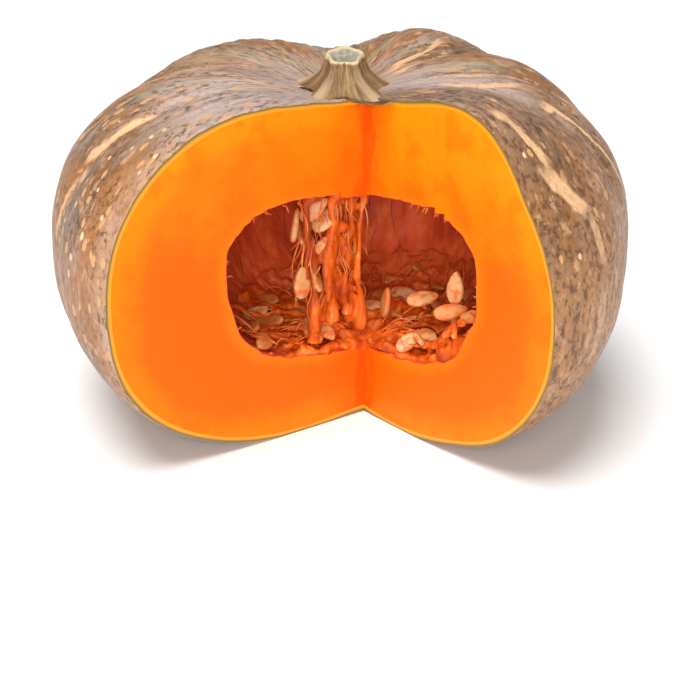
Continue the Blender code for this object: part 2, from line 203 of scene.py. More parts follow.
def furrowDepth(theta):
    side = smoothStep(theta, 0.55, 1.35)
    base = smoothStep(theta, 1.75, 2.35)
    depth = fruit["furrowShoulder"] + (fruit["furrowSide"] - fruit["furrowShoulder"]) * side
    depth = depth + (fruit["furrowBase"] - fruit["furrowSide"]) * base
    return depth * smoothStep(theta, 0.10, 0.55) * (1 - smoothStep(theta, 2.55, 3.05))


def swelling(theta, azimuth):
    turn = (azimuth - fruit["swellAt"] + 180) % 360 - 180
    shoulder = fruit["shoulderSwell"] * smoothStep(theta, 0.2, 0.55) * (1 - smoothStep(theta, 0.6, 1.05))
    side = fruit["sideSwell"] * smoothStep(theta, 1.15, 1.6) * (1 - smoothStep(theta, 2.3, 2.8))
    return (shoulder + side) * np.exp(-((turn / fruit["swellWidth"]) ** 2))


def skinSection(theta, azimuth):  # reach from the axis and height of the skin
    reach, height = meridian(theta)
    ahead, behind = meridian(theta + 0.003), meridian(theta - 0.003)
    run, drop = ahead[0] - behind[0], ahead[1] - behind[1]
    length = np.hypot(run, drop)
    across, up = -drop / length, run / length
    number, share = lobeOf(azimuth)
    crest = lobeCrest(share)
    rise = np.array(fruit["lobeRise"])[number] * crest * smoothStep(theta, 0.15, 0.6)
    off = -furrowDepth(theta) * (1 - crest) + rise * (1 - smoothStep(theta, 0.9, 1.6)) + swelling(theta, azimuth)
    uneven = fruit["uneven"] * np.sin(np.radians(3 * azimuth - 20))
    uneven = uneven - fruit["leftBulge"] * np.sin(np.radians(azimuth))
    return reach * (1 + uneven * np.sin(theta)) + across * off, height + up * off


def skinTables():  # for each azimuth and slope from the centre: the skin's distance, and its theta
    azimuths = np.linspace(-180, 180, 1081)[:, None]
    thetas = np.linspace(0.004, math.pi - 0.004, 1200)[None, :]
    reach, height = skinSection(thetas, azimuths)
    slope = np.arctan2(reach, height)
    slopes = np.linspace(0, math.pi, 901)
    distance = np.array([np.interp(slopes, s, d) for s, d in zip(slope, np.hypot(reach, height))])
    theta = np.array([np.interp(slopes, s, thetas[0]) for s in slope])
    return distance, theta


skinDistance, skinTheta = skinTables()


def lookUp(table, azimuth, slope):
    row = (azimuth + 180) % 360 / 360 * (table.shape[0] - 1)
    column = np.clip(slope / math.pi, 0, 1) * (table.shape[1] - 1)
    r, c = np.clip(row.astype(int), 0, table.shape[0] - 2), np.clip(column.astype(int), 0, table.shape[1] - 2)
    u, v = row - r, column - c
    top = table[r, c] * (1 - v) + table[r, c + 1] * v
    return top * (1 - u) + (table[r + 1, c] * (1 - v) + table[r + 1, c + 1] * v) * u


def polarOf(points):
    reach = np.hypot(points[..., 0], points[..., 1])
    azimuth = np.degrees(np.arctan2(points[..., 0], -points[..., 1]))
    return azimuth, np.arctan2(reach, points[..., 2]), np.linalg.norm(points, axis=-1)


def outsideSkin(points):
    azimuth, slope, distance = polarOf(points)
    return distance - lookUp(skinDistance, azimuth, slope)


cavity = {
    "centre": (0.006, -0.003, 0.009),
    "radius": 0.0715,
    "above": 0.0236,
    "below": 0.0545,
    "power": 3.0,
    "stretch": 0.08,
    "stretchAt": 40.0,
    "wave": 0.012,
    "roofDrop": 0.008,
    "roofDropWidth": 0.035,
    "fibreRelief": 0.0011,
}


def outsideCavity(points):
    local = points - np.array(cavity["centre"])
    azimuth = np.degrees(np.arctan2(local[..., 0], -local[..., 1]))
    reach = np.hypot(local[..., 0], local[..., 1])
    widest = 1 + cavity["stretch"] * np.cos(np.radians(azimuth - cavity["stretchAt"]))
    widest = cavity["radius"] * (widest + cavity["wave"] * np.sin(np.radians(5 * azimuth + 30)))
    height = local[..., 2]
    high = smoothStep(height, -0.002, 0.008)
    height = height + high * cavity["roofDrop"] * np.exp(-((reach / cavity["roofDropWidth"]) ** 2))
    half = np.where(height > 0, cavity["above"], cavity["below"])
    return (reach / widest) ** cavity["power"] + np.abs(height / half) ** cavity["power"] - 1


# The section grid: rays from a point on the line where the two cuts meet

section = {"columns": 400, "rows": 200, "hiddenStep": 10, "faceSteps": 30}
apex = np.array([*fruit["apex"], 0.0])


def rayLength(directions, outside):  # bisection along every ray at once
    near, far = np.zeros(directions.shape[:-1]), np.full(directions.shape[:-1], 0.25)
    for _ in range(30):
        middle = (near + far) / 2
        beyond = outside(apex + directions * middle[..., None]) > 0
        far = np.where(beyond, middle, far)
        near = np.where(beyond, near, middle)
    return (near + far) / 2


def evenRows(rows):  # elevations that are equal lengths apart on the side behind the cut
    slopes = np.linspace(0, math.pi, 1500)
    directions = np.stack([np.zeros_like(slopes), np.sin(slopes), np.cos(slopes)], -1)
    points = directions * rayLength(directions, outsideSkin)[:, None]
    steps = np.linalg.norm(np.diff(points, axis=0), axis=1)
    length = np.concatenate([[0], np.cumsum(steps)])
    return np.interp(np.linspace(0, length[-1], rows), length, slopes)


rowSlopes = evenRows(section["rows"])
columnTurns = np.linspace(fruit["rightCut"], 360 + fruit["leftCut"], section["columns"])
turnGrid, slopeGrid = np.meshgrid(np.radians(columnTurns), rowSlopes)
rays = np.stack([np.sin(turnGrid) * np.sin(slopeGrid), -np.cos(turnGrid) * np.sin(slopeGrid), np.cos(slopeGrid)], -1)
skinLength = rayLength(rays, outsideSkin)
skinPoints = apex + rays * skinLength[..., None]
footHeight = float(skinPoints[..., 2].min()) + fruit["footFlat"]


def gridNormals(points):
    down, along = np.gradient(points, axis=0), np.gradient(points, axis=1)
    normals = np.cross(down, along)
    normals /= np.linalg.norm(normals, axis=-1, keepdims=True) + 1e-12
    return normals * np.sign((normals * rays).sum(-1, keepdims=True) + 1e-12)


rayTilt = np.clip((gridNormals(skinPoints) * rays).sum(-1), 0.35, 1)
rayTilt[0], rayTilt[-1] = rayTilt[2], rayTilt[-3]

# What the materials read, worked out where the skin is
skinAzimuth, skinSlope, _ = polarOf(skinPoints)
thetaGrid = lookUp(skinTheta, skinAzimuth, skinSlope)
lobeNumber, lobeShare = lobeOf(skinAzimuth)
furrowGrid = 1 - lobeCrest(lobeShare)

rind = {
    "rippleHeight": 0.00035,  # fine ribs that run from the stem
    "lumpHeight": 0.0006,
    "pitHeight": 0.00012,
    "edgeSteps": 3,
}


def rindRelief():  # how far the skin stands in or out of its plain form, in metres
    along = thetaGrid[..., None] * fruit["radius"]
    around = polar(skinAzimuth, fruit["radius"])
    stretched = np.concatenate([around[..., :2], along * 0.25], -1)
    ribs = softNoise(stretched, 0.0042) * np.exp(-((thetaGrid - 0.55) / 0.45) ** 2)
    lumps = softNoise(skinPoints, 0.019) * 0.7 + softNoise(skinPoints + 0.3, 0.009) * 0.3
    pits = softNoise(skinPoints + 0.7, 0.0031)
    return ribs * rind["rippleHeight"] * 2 + lumps * rind["lumpHeight"] + pits * rind["pitHeight"]


reliefFade = smoothStep(skinPoints[..., 2], footHeight + 0.001, footHeight + 0.006)
outerLength = skinLength + rindRelief() * reliefFade / rayTilt
innerLength = skinLength - fruit["rindThickness"] / rayTilt
fleshLength = innerLength - fruit["seam"]


def onRays(lengths):
    points = apex + rays * lengths[..., None]
    points[..., 2] = np.maximum(points[..., 2], footHeight)
    return points


# Where the fruit's own centre lies in the frame: its box is set on the rind's solid
outerPoints = onRays(outerLength)
rindLow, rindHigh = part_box("rind")
plainPoints = onRays(skinLength)
boxMiddle = (plainPoints.reshape(-1, 3).min(0) + plainPoints.reshape(-1, 3).max(0)) / 2
fruitCentre = np.array([(rindLow.x + rindHigh.x) / 2 - boxMiddle[0], (rindLow.y + rindHigh.y) / 2 - boxMiddle[1],
                        rindLow.z - footHeight])
print("fruit centre in the frame", fruitCentre.round(5))


def closedShell(name, outer, inner, hiddenIs, edgeSteps, attributes, edgeBulge=None):
    # One closed piece: an outer grid, an inner grid, and the two cut faces between them.
    # The hidden grid keeps every row but only some columns.
    columns = section["columns"]
    kept = sorted(set(list(range(0, columns, section["hiddenStep"])) + [columns - 1]))
    grids, faces, values, start = [], [], [], 0

    def addGrid(points, data, flip):
        nonlocal start
        rows, wide = points.shape[:2]
        grids.append(points.reshape(-1, 3))
        faces.append(gridFaces(rows, wide, start, flip))
        values.append([d.reshape(-1) for d in data])
        start += rows * wide

    steps = np.linspace(0, 1, edgeSteps + 1)
    for which, flip in (("outer", False), ("inner", True)):
        points = outer if which == "outer" else inner
        pick = kept if which == hiddenIs else list(range(columns))
        share = 0.0 if which == "outer" else 1.0
        addGrid(points[:, pick], [a[:, pick] for a in attributes] + [np.full((len(points), len(pick)), share)], flip)
    for column, flip in ((0, True), (columns - 1, False)):
        a, b = outer[:, column, None], inner[:, column, None]
        face = a + (b - a) * steps[None, :, None]
        if edgeBulge is not None:
            face = face + edgeBulge(face, steps, column)
        data = [np.repeat(value[:, column, None], len(steps), 1) for value in attributes]
        addGrid(face, data + [np.repeat(steps[None], len(a), 0)], flip)
    layers = [np.concatenate([v[i] for v in values]) for i in range(len(attributes) + 1)]
    return np.concatenate(grids), np.concatenate(faces), layers


def toFrame(points):
    return points + fruitCentre


# The rind

def makeRind():
    reach = np.hypot(*(skinPoints[..., :2] - apex[:2]).transpose(2, 0, 1)) * 1000
    nearest = np.minimum(columnTurns - columnTurns[0], columnTurns[-1] - columnTurns)
    fromCut = np.radians(nearest)[None, :] * reach
    around = skinAzimuth % 360
    plain = [furrowGrid, thetaGrid, around, fromCut]
    points, faces, layers = closedShell("rindSkin", outerPoints, onRays(innerLength), "inner", rind["edgeSteps"], plain)
    furrowAll, thetaAll, aroundAll, cutAll, depthAll = layers
    skinMap = polar(aroundAll, fruit["radius"])
    skinMap[:, 2] = thetaAll * fruit["radius"]
    attributes = {"furrow": furrowAll, "theta": thetaAll, "around": aroundAll, "fromCut": cutAll, "depth": depthAll,
                  "skinMap": skinMap}
    return meshObject("rindSkin", toFrame(points), faces, attributes, sharpAngle=50)


# The flesh

flesh = {
    "cutWave": 0.00030,
    "cutGrain": 0.00012,
    "cornerFade": 0.004,
    "tornDepth": 0.0042,  # notches in the cavity's edge along the right cut
    "tornWidth": 0.0042,
    "tornReach": 0.0070,
    "leftRise": 0.0022,  # the cavity's upper edge stands higher beside the left cut
}


def makeFlesh():
    rawCavity = rayLength(rays, outsideCavity)
    spots = apex + rays * rawCavity[..., None]
    stretched = spots * np.array([1, 1, 0.35])
    ridges = 1 - 2 * np.abs(softNoise(stretched, 0.0065))
    fibres = softNoise(stretched + 0.4, 0.0022)
    lumps = softNoise(spots + 0.9, 0.014)
    relief = cavity["fibreRelief"] * (ridges * 0.6 + fibres * 0.5 + lumps * 1.1)
    fade = smoothStep(np.sin(slopeGrid), 0.0, 0.12)
    behind = (turnGrid - turnGrid[0, 0]) * rawCavity * np.sin(slopeGrid)
    torn = smoothStep(softNoise(spots + 0.15, flesh["tornWidth"]), 0.0, 0.7)
    torn = torn * (1 - smoothStep(behind, 0, flesh["tornReach"]))
    torn = torn * smoothStep(slopeGrid, 0.5, 0.9) * (1 - smoothStep(slopeGrid, 1.0, 1.2))
    besideLeft = 1 - smoothStep(turnGrid[0, -1] - turnGrid, 0.2, 0.7)
    risen = besideLeft * smoothStep(slopeGrid, 0.25, 0.6) * (1 - smoothStep(slopeGrid, 0.95, 1.3))
    cavityLength = rawCavity + relief * fade + torn * flesh["tornDepth"] + risen * flesh["leftRise"]
    inner, outer = onRays(cavityLength), onRays(fleshLength)

    def bulge(face, steps, column):
        turn = math.radians(columnTurns[column])
        out = np.array([-math.cos(turn), -math.sin(turn), 0]) * (1 if column == 0 else -1)
        wave = softNoise(face, 0.022) * flesh["cutWave"] + softNoise(face + 0.5, 0.0024) * flesh["cutGrain"]
        corner = np.hypot(face[..., 0] - apex[0], face[..., 1] - apex[1])
        rim = np.minimum(smoothStep(steps, 0.0, 0.06), 1 - smoothStep(steps, 0.96, 1.0))
        amount = wave * smoothStep(corner, 0, flesh["cornerFade"]) * rim[None, :]
        return out * amount[..., None]

    wall = (fleshLength - cavityLength) * 1000
    points, faces, layers = closedShell("cutFlesh", outer, inner, "outer", section["faceSteps"], [wall, thetaGrid], bulge)
    wallAll, thetaAll, depthAll = layers
    reach = np.hypot(points[:, 0] - apex[0], points[:, 1] - apex[1]) * 1000
    attributes = {"fromRind": depthAll * wallAll, "fromCavity": (1 - depthAll) * wallAll, "depth": depthAll,
                  "fromCorner": reach, "theta": thetaAll}
    obj = meshObject("cutFlesh", toFrame(points), faces, attributes, sharpAngle=55)
    return obj, cavityLength


rindPiece = makeRind()
fleshPiece, cavityLength = makeFlesh()
print("rind and flesh", len(rindPiece.data.polygons), len(fleshPiece.data.polygons))


# The stem

stem = {
    "height": 0.0157,
    "footRadius": 0.0182,
    "ridges": 5,
    "firstRidge": 36.0,
    "tilt": 0.19,
    "columns": 260,
    "rows": 130,
    "sink": 0.0015,
    "crackDepth": 0.00045,
    "topSag": 0.0016,
    "toeThickness": 0.0034,  # five toes spread over the rind
    "toeFrom": 0.0150,
    "toeTo": 0.0250,
    "overCutTrim": 0.24,  # the foot's skirt is narrower where it hangs over the cut
}
stemShares = (-0.30, 0.0, 0.10, 0.26, 0.50, 0.78, 0.94, 1.0, 0.97, 0.92)
stemWidths = (1.26, 1.18, 1.02, 0.76, 0.53, 0.43, 0.43, 0.40, 0.26, 0.02)
stemRidges = (0.22, 0.22, 0.21, 0.18, 0.14, 0.11, 0.10, 0.09, 0.06, 0.0)


def softLine(spots, values, where):  # a smooth line through the given values
    smooth = np.interp(where, spots, values)
    for _ in range(3):
        smooth = np.convolve(np.pad(smooth, 2, mode="edge"), np.ones(5) / 5, mode="valid")
    return smooth


def makeStem():
    rows, columns = stem["rows"], stem["columns"]
    path = np.linspace(0, len(stemShares) - 1, rows)
    share = softLine(range(len(stemShares)), stemShares, path)
    width = softLine(range(len(stemWidths)), stemWidths, path)
    ridge = softLine(range(len(stemRidges)), stemRidges, path)
    azimuth = np.linspace(0, 360, columns)
    wave = np.cos(np.radians(stem["ridges"] * (azimuth - stem["firstRidge"])))
    wave = np.sign(wave) * np.abs(wave) ** 0.8
    foot = (1 - smoothStep(share, 0.0, 0.5))[:, None]
    uneven = 1 + foot * 0.10 * np.sin(np.radians(2 * azimuth + 30))[None, :]
    reach = stem["footRadius"] * width[:, None] * (1 + ridge[:, None] * wave[None, :]) * uneven
    overCut = np.exp(-(((azimuth + 180) % 360 - 180) / 26) ** 2)
    reach = reach * (1 - stem["overCutTrim"] * (1 - smoothStep(share, 0.0, 0.16))[:, None] * overCut[None, :])
    bottom = float(skinSection(np.array([0.004]), np.array([0.0]))[1][0])
    points = polar(np.repeat(azimuth[None], rows, 0), reach)
    lift = stem["tilt"] * points[..., 1] * smoothStep(share, 0.4, 1.0)[:, None]
    points[..., 2] = bottom + stem["height"] * share[:, None] + lift
    around = polar(np.repeat(azimuth[None], rows, 0), 0.012)
    grain = np.concatenate([around[..., :2], points[..., 2:] * 0.22], -1)
    cracks = np.abs(softNoise(grain, 0.0022)) ** 0.6 - 0.55
    warts = softNoise(points, 0.0030)
    side = (1 - smoothStep(path, 6.6, 7.4))[:, None]
    out = polar(np.repeat(azimuth[None], rows, 0), 1.0)
    points = points + out * ((cracks * stem["crackDepth"] + warts * 0.00035) * side)[..., None]
    top = smoothStep(path, 6.9, 8.2)[:, None]
    pith = softNoise(points + 0.2, 0.0016) * 0.00022 + softNoise(points + 0.5, 0.004) * 0.0004
    points[..., 2] += top * (pith - stem["topSag"] * (1 - (reach / 0.008) ** 2).clip(0, 1))
    skin = np.stack([points[..., 0], points[..., 1], points[..., 2]], -1)
    azimuthOf, slope, distance = polarOf(skin)
    floor = lookUp(skinDistance, azimuthOf, slope)
    crest = np.clip(wave, 0, 1)[None, :] * (1 - smoothStep(reach, stem["toeFrom"], stem["toeTo"]))
    deeper = np.maximum(distance, floor - stem["sink"] + stem["toeThickness"] * crest)
    points = skin * (deeper / distance)[..., None]
    faces = gridFaces(rows, columns)
    ends = [np.arange(columns - 1)[::-1], (rows - 1) * columns + np.arange(columns - 1)]
    height = (points[..., 2] - bottom) * 1000
    attributes = {
        "ridge": np.repeat(wave[None], rows, 0).ravel(),
        "height": height.ravel(),
        "cutTop": np.repeat(top, columns, 1).ravel(),
        "reach": (reach * 1000).ravel(),
        "grain": grain.reshape(-1, 3),
    }
    everything = list(map(tuple, faces)) + [tuple(end) for end in ends]
    return meshObject("corkyStem", toFrame(points.reshape(-1, 3)), everything, attributes)


stemPiece = makeStem()
print("stem", len(stemPiece.data.polygons))


# The pulp: strands and lumps grown together

pulp = {
    "voxel": 0.00085,
    "curtainStrands": 30,
    "knots": 56,
    "curtainFirst": -0.0015,
    "curtainLast": 0.0285,
    "curtainFront": 0.0045,
    "curtainBack": 0.0190,
    "floorLevel": -0.0385,
    "bank": 0.014,
    "bankRight": 0.026,
    "bankRightAt": 62.0,
    "bedColumns": 240,
    "bedRows": 100,
    "bedStrands": 90,
    "frontDrop": 0.0062,
    "frontWidth": 0.014,
    "crumbs": 420,
}
dice = random.Random(7)
roofHeight = cavity["centre"][2] + cavity["above"]


def behindLeftCut(along, inside, height):  # along the cut from the corner, and into the fruit behind it
    spot = polar(np.array(fruit["leftCut"]), along) + polar(np.array(fruit["leftCut"] - 90.0), inside)
    return np.array([fruit["apex"][0] + spot[0], fruit["apex"][1] + spot[1], height])


def behindRightCut(along, inside, height):
    spot = polar(np.array(fruit["rightCut"]), along) + polar(np.array(fruit["rightCut"] + 90.0), inside)
    return np.array([fruit["apex"][0] + spot[0], fruit["apex"][1] + spot[1], height])


def insideCavity(points, clear):  # pulls points back that lie past the cavity's wall
    local = points - apex
    length = np.linalg.norm(local, axis=-1, keepdims=True) + 1e-9
    wall = rayLength(local / length, outsideCavity)[..., None]
    return apex + local * np.minimum(1, (wall - clear) / length)


def addTube(bm, points, radii, sides=9):  # a closed round strand through the points
    points = [Vector(p) for p in points]
    rings = []
    side = Vector((0.31, 0.87, 0.38))
    for number, point in enumerate(points):
        before, after = points[max(number - 1, 0)], points[min(number + 1, len(points) - 1)]
        along = (after - before).normalized()
        side = (side - along * side.dot(along)).normalized()
        other = along.cross(side)
        ring = []
        for step in range(sides):
            turn = math.tau * step / sides
            ring.append(bm.verts.new(point + (side * math.cos(turn) + other * math.sin(turn)) * radii[number]))
        rings.append(ring)
    for low, high in zip(rings, rings[1:]):
        for step in range(sides):
            bm.faces.new((low[step], low[(step + 1) % sides], high[(step + 1) % sides], high[step]))
    bm.faces.new(rings[0][::-1])
    bm.faces.new(rings[-1])


def curtainPaths():  # strands that hang from the roof behind the left cut, along a folded line
    paths = []
    for number in range(pulp["curtainStrands"]):
        share = (number + dice.uniform(0.2, 0.8)) / pulp["curtainStrands"]
        along = pulp["curtainFirst"] + (pulp["curtainLast"] - pulp["curtainFirst"]) * share
        fold = 0.5 - 0.5 * math.cos(math.tau * 2.0 * share)
        inside = pulp["curtainFront"] + (pulp["curtainBack"] - pulp["curtainFront"]) * fold
        inside += dice.uniform(-0.002, 0.002)
        phase = dice.uniform(0, math.tau)
        drift = 0.005 * math.sin(5 * share + 0.4)
        end = pulp["floorLevel"] + dice.uniform(-0.002, 0.008)
        loose = share > 0.36 and dice.random() < 0.72
        if loose:  # strands on the left end above the floor
            end = dice.uniform(-0.026, -0.004)
        points, radii = [], []
        for step in range(15):
            fall = step / 14
            sway = 0.0026 * math.sin(fall * 7 + phase) + 0.0012 * math.sin(fall * 19 + phase * 2)
            height = roofHeight + 0.006 + (end - roofHeight - 0.006) * fall
            points.append(behindLeftCut(along + sway + drift * fall, inside - sway * 0.7, height))
            thick = (0.0027 - 0.0012 * math.sin(math.pi * fall)) * dice.uniform(0.6, 1.35)
            radii.append(thick * (1 - 0.65 * fall ** 3) if loose else thick)
        paths.append((points, radii))
    return paths


def bedHeight(spots):  # the bed banks up against the cavity's wall, most of all to the right
    local = spots[..., :2] - np.array(cavity["centre"][:2])
    reach, azimuth = np.hypot(local[..., 0], local[..., 1]), np.degrees(np.arctan2(local[..., 0], -local[..., 1]))
    turn = np.abs((azimuth - pulp["bankRightAt"] + 180) % 360 - 180)
    bank = pulp["bank"] + (pulp["bankRight"] - pulp["bank"]) * (1 - smoothStep(turn, 15, 60))
    return pulp["floorLevel"] + bank * smoothStep(reach, 0.040, 0.074)


def onBed(azimuth, reach):
    spots = apex + polar(azimuth, reach)
    spots[..., 2] = bedHeight(spots)
    return spots


def bedReach(azimuth):  # how far the bed runs from the corner's line before it meets the wall
    near, far = np.zeros_like(azimuth), np.full_like(azimuth, 0.12)
    for _ in range(25):
        middle = (near + far) / 2
        beyond = outsideCavity(onBed(azimuth, middle)) > 0
        far, near = np.where(beyond, middle, far), np.where(beyond, near, middle)
    return near


def bedGrid():
    rows, columns = pulp["bedRows"], pulp["bedColumns"]
    azimuth = np.linspace(fruit["rightCut"], 360 + fruit["leftCut"], columns)
    wall = bedReach(azimuth)
    share, turn = np.meshgrid(np.linspace(0, 1, rows), azimuth, indexing="ij")
    points = onBed(turn, share * (wall + 0.0015)[None, :])
    radial = np.stack([turn * 0.0009, share * 0.02, share * 0 + 2], -1)
    strings = 1 - 2 * np.abs(softNoise(radial, 0.0042))
    lumps = softNoise(points, 0.0085) * 0.0024 + softNoise(points + 0.4, 0.0036) * 0.0015
    chunks = 1 - 2 * np.abs(softNoise(points + 0.8, 0.0050))
    points[..., 2] += (lumps + strings * 0.0008 + chunks * 0.0014) * smoothStep(share, 0, 0.08)
    beside = np.minimum(np.sin(np.radians(turn - azimuth[0])), np.sin(np.radians(azimuth[-1] - turn)))
    beside = np.where(np.abs(turn - 173) < 80, 1.0, beside) * share * wall[None, :]
    points[..., 2] -= pulp["frontDrop"] * (1 - smoothStep(beside, 0.0, pulp["frontWidth"]))
    for column, side in ((0, 1), (-1, -1)):  # a ragged front along each cut
        out = polar(np.array(azimuth[column] + 90.0 * side), 1.0)
        for step in range(4):
            at = step if column == 0 else -1 - step
            back = 0.0012 + 0.0016 * (softNoise(points[:, at] * 1.0, 0.004) + 0.5)
            points[:, at] += out * (back * (1 - step / 4) * smoothStep(share[:, at], 0.02, 0.1))[:, None]
    return points


def bedMesh(bm):
    top = bedGrid()
    rows, columns = top.shape[:2]
    low = top.copy()
    low[..., 2] = np.minimum(top[..., 2] - 0.004, pulp["floorLevel"] - 0.009)
    upper = [[bm.verts.new(p) for p in row] for row in top]
    lower = [[bm.verts.new(p) for p in row] for row in low]
    for r in range(rows - 1):
        for c in range(columns - 1):
            bm.faces.new((upper[r][c], upper[r][c + 1], upper[r + 1][c + 1], upper[r + 1][c]))
            bm.faces.new((lower[r][c], lower[r + 1][c], lower[r + 1][c + 1], lower[r][c + 1]))
        for c in (0, columns - 1):
            bm.faces.new((upper[r][c], upper[r + 1][c], lower[r + 1][c], lower[r][c]))
    for c in range(columns - 1):
        bm.faces.new((upper[-1][c], upper[-1][c + 1], lower[-1][c + 1], lower[-1][c]))
    bmesh.ops.remove_doubles(bm, verts=bm.verts, dist=1e-6)
    bmesh.ops.recalc_face_normals(bm, faces=bm.faces)


def bedStrands(bm):  # thick strands that lie on the bed and climb its bank
    for number in range(pulp["bedStrands"]):
        azimuth = fruit["rightCut"] + 4 + (352 + fruit["leftCut"] - fruit["rightCut"]) * ((number * 0.618) % 1)
        wall = float(bedReach(np.array([azimuth]))[0])
        start, span = wall * dice.uniform(0.15, 0.80), dice.uniform(0.010, 0.030)
        bend, thick = dice.uniform(-14, 14), dice.uniform(0.0007, 0.0018)
        points = []
        for step in range(9):
            share = step / 8
            spot = onBed(np.array([azimuth + bend * share]), np.array([min(start + span * share, wall + 0.001)]))[0]
            spot[2] += 0.0012 + 0.0030 * math.sin(math.pi * share) * math.sin(number * 2.4) ** 2
            points.append(spot)
        addTube(bm, points, [thick * (0.8 + 0.4 * math.sin(3 * s + number)) for s in range(9)], 7)


def grown(name, bm, rounds, depth):  # loose parts grown into one wet, wrinkled skin
    mesh = bpy.data.meshes.new(name)
    bm.to_mesh(mesh)
    bm.free()
    obj = bpy.data.objects.new(name, mesh)
    bpy.context.scene.collection.objects.link(obj)
    remesh = obj.modifiers.new("grown", "REMESH")
    remesh.mode = "VOXEL"
    remesh.voxel_size = pulp["voxel"]
    relax = obj.modifiers.new("relaxed", "SMOOTH")
    relax.factor = 0.5
    relax.iterations = rounds
    evaluated = obj.evaluated_get(bpy.context.evaluated_depsgraph_get())
    obj.data = bpy.data.meshes.new_from_object(evaluated)
    obj.modifiers.clear()
    obj.data.shade_smooth()
    points, normals = np.empty(len(obj.data.vertices) * 3), np.empty(len(obj.data.vertices) * 3)
    obj.data.vertices.foreach_get("co", points)
    obj.data.vertices.foreach_get("normal", normals)
    points, normals = points.reshape(-1, 3), normals.reshape(-1, 3)
    spots = points * np.array([1, 1, 0.30]) + depth
    ridges = 1 - 2 * np.abs(softNoise(spots, 0.0030))
    fine = softNoise(spots, 0.0013)
    points = points + normals * ((ridges * 0.6 + fine * 0.4) * depth)[:, None]
    obj.data.vertices.foreach_set("co", toFrame(points).ravel())
    obj.data.update()
    return obj


def makeCurtain():
    bm = bmesh.new()
    for points, radii in curtainPaths():
        addTube(bm, insideCavity(np.array(points), -0.0015), radii)
    for number in range(pulp["knots"]):  # knots of pulp between the strands
        share = (number + 0.5) / pulp["knots"]
        along = pulp["curtainFirst"] + 0.003 + (pulp["curtainLast"] - 0.004) * ((number * 0.618) % 1) * (1 - 0.6 * share)
        inside = dice.uniform(pulp["curtainFront"] + 0.001, pulp["curtainBack"])
        place = Matrix.Translation(Vector(behindLeftCut(along, inside, roofHeight - 0.001 - 0.058 * share)))
        bmesh.ops.create_icosphere(bm, subdivisions=2, radius=dice.uniform(0.0014, 0.0031),
                                   matrix=place @ Matrix.Diagonal((1.3, 0.7, dice.uniform(0.8, 2.0), 1)))
    return grown("hangingPulp", bm, 3, 0.00045)


def bedCrumbs(bm):  # small lumps, most of them near the cuts
    top = bedGrid()
    for number in range(pulp["crumbs"]):
        beside = 3 + int((pulp["bedColumns"] - 8) * 0.5 * dice.random() ** 2.2)
        column = beside if number % 2 else pulp["bedColumns"] - 1 - beside
        spot = top[dice.randrange(6, pulp["bedRows"] - 4), column]
        place = Matrix.Translation(Vector(spot) + Vector((0, 0, dice.uniform(-0.0006, 0.0012))))
        shape = Matrix.Diagonal((dice.uniform(0.8, 1.5), dice.uniform(0.8, 1.5), dice.uniform(0.7, 1.1), 1))
        bmesh.ops.create_icosphere(bm, subdivisions=1, radius=dice.uniform(0.0011, 0.0023), matrix=place @ shape)


def makeBed():
    bm = bmesh.new()
    bedMesh(bm)
    bedStrands(bm)
    bedCrumbs(bm)
    return grown("pulpBed", bm, 2, 0.00040)


curtainPiece = makeCurtain()
bedPiece = makeBed()
print("pulp", len(curtainPiece.data.polygons), len(bedPiece.data.polygons))


# The seeds

seed = {"length": 0.0150, "width": 0.0080, "thickness": 0.0031, "rimHeight": 0.22, "scattered": 44}


def seedMesh():  # flat, with one pointed end and a slightly raised rim
    rings, sides = 22, 24
    points = []
    for ring in range(rings):
        share = ring / (rings - 1)
        outline = math.sin(math.pi * min(share, 0.999) ** 0.80) ** 0.62
        for side in range(sides):
            turn = math.tau * side / sides
            across = math.cos(turn) * outline
            rim = 1 + seed["rimHeight"] * math.exp(-(((abs(across) - outline * 0.80) / 0.12) ** 2))
            flat = math.copysign(abs(math.sin(turn)) ** 0.7, math.sin(turn)) * outline ** 0.5 * rim
            points.append((across * seed["width"] / 2, flat * seed["thickness"] / 2, (share - 0.5) * seed["length"]))
    faces = []
    for ring in range(rings - 1):
        for side in range(sides):
            a, b = ring * sides + side, ring * sides + (side + 1) % sides
            faces.append((a, b, b + sides, a + sides))
    faces += [tuple(range(sides))[::-1], tuple((rings - 1) * sides + s for s in range(sides))]
    return meshObject("seedShape", points, faces)


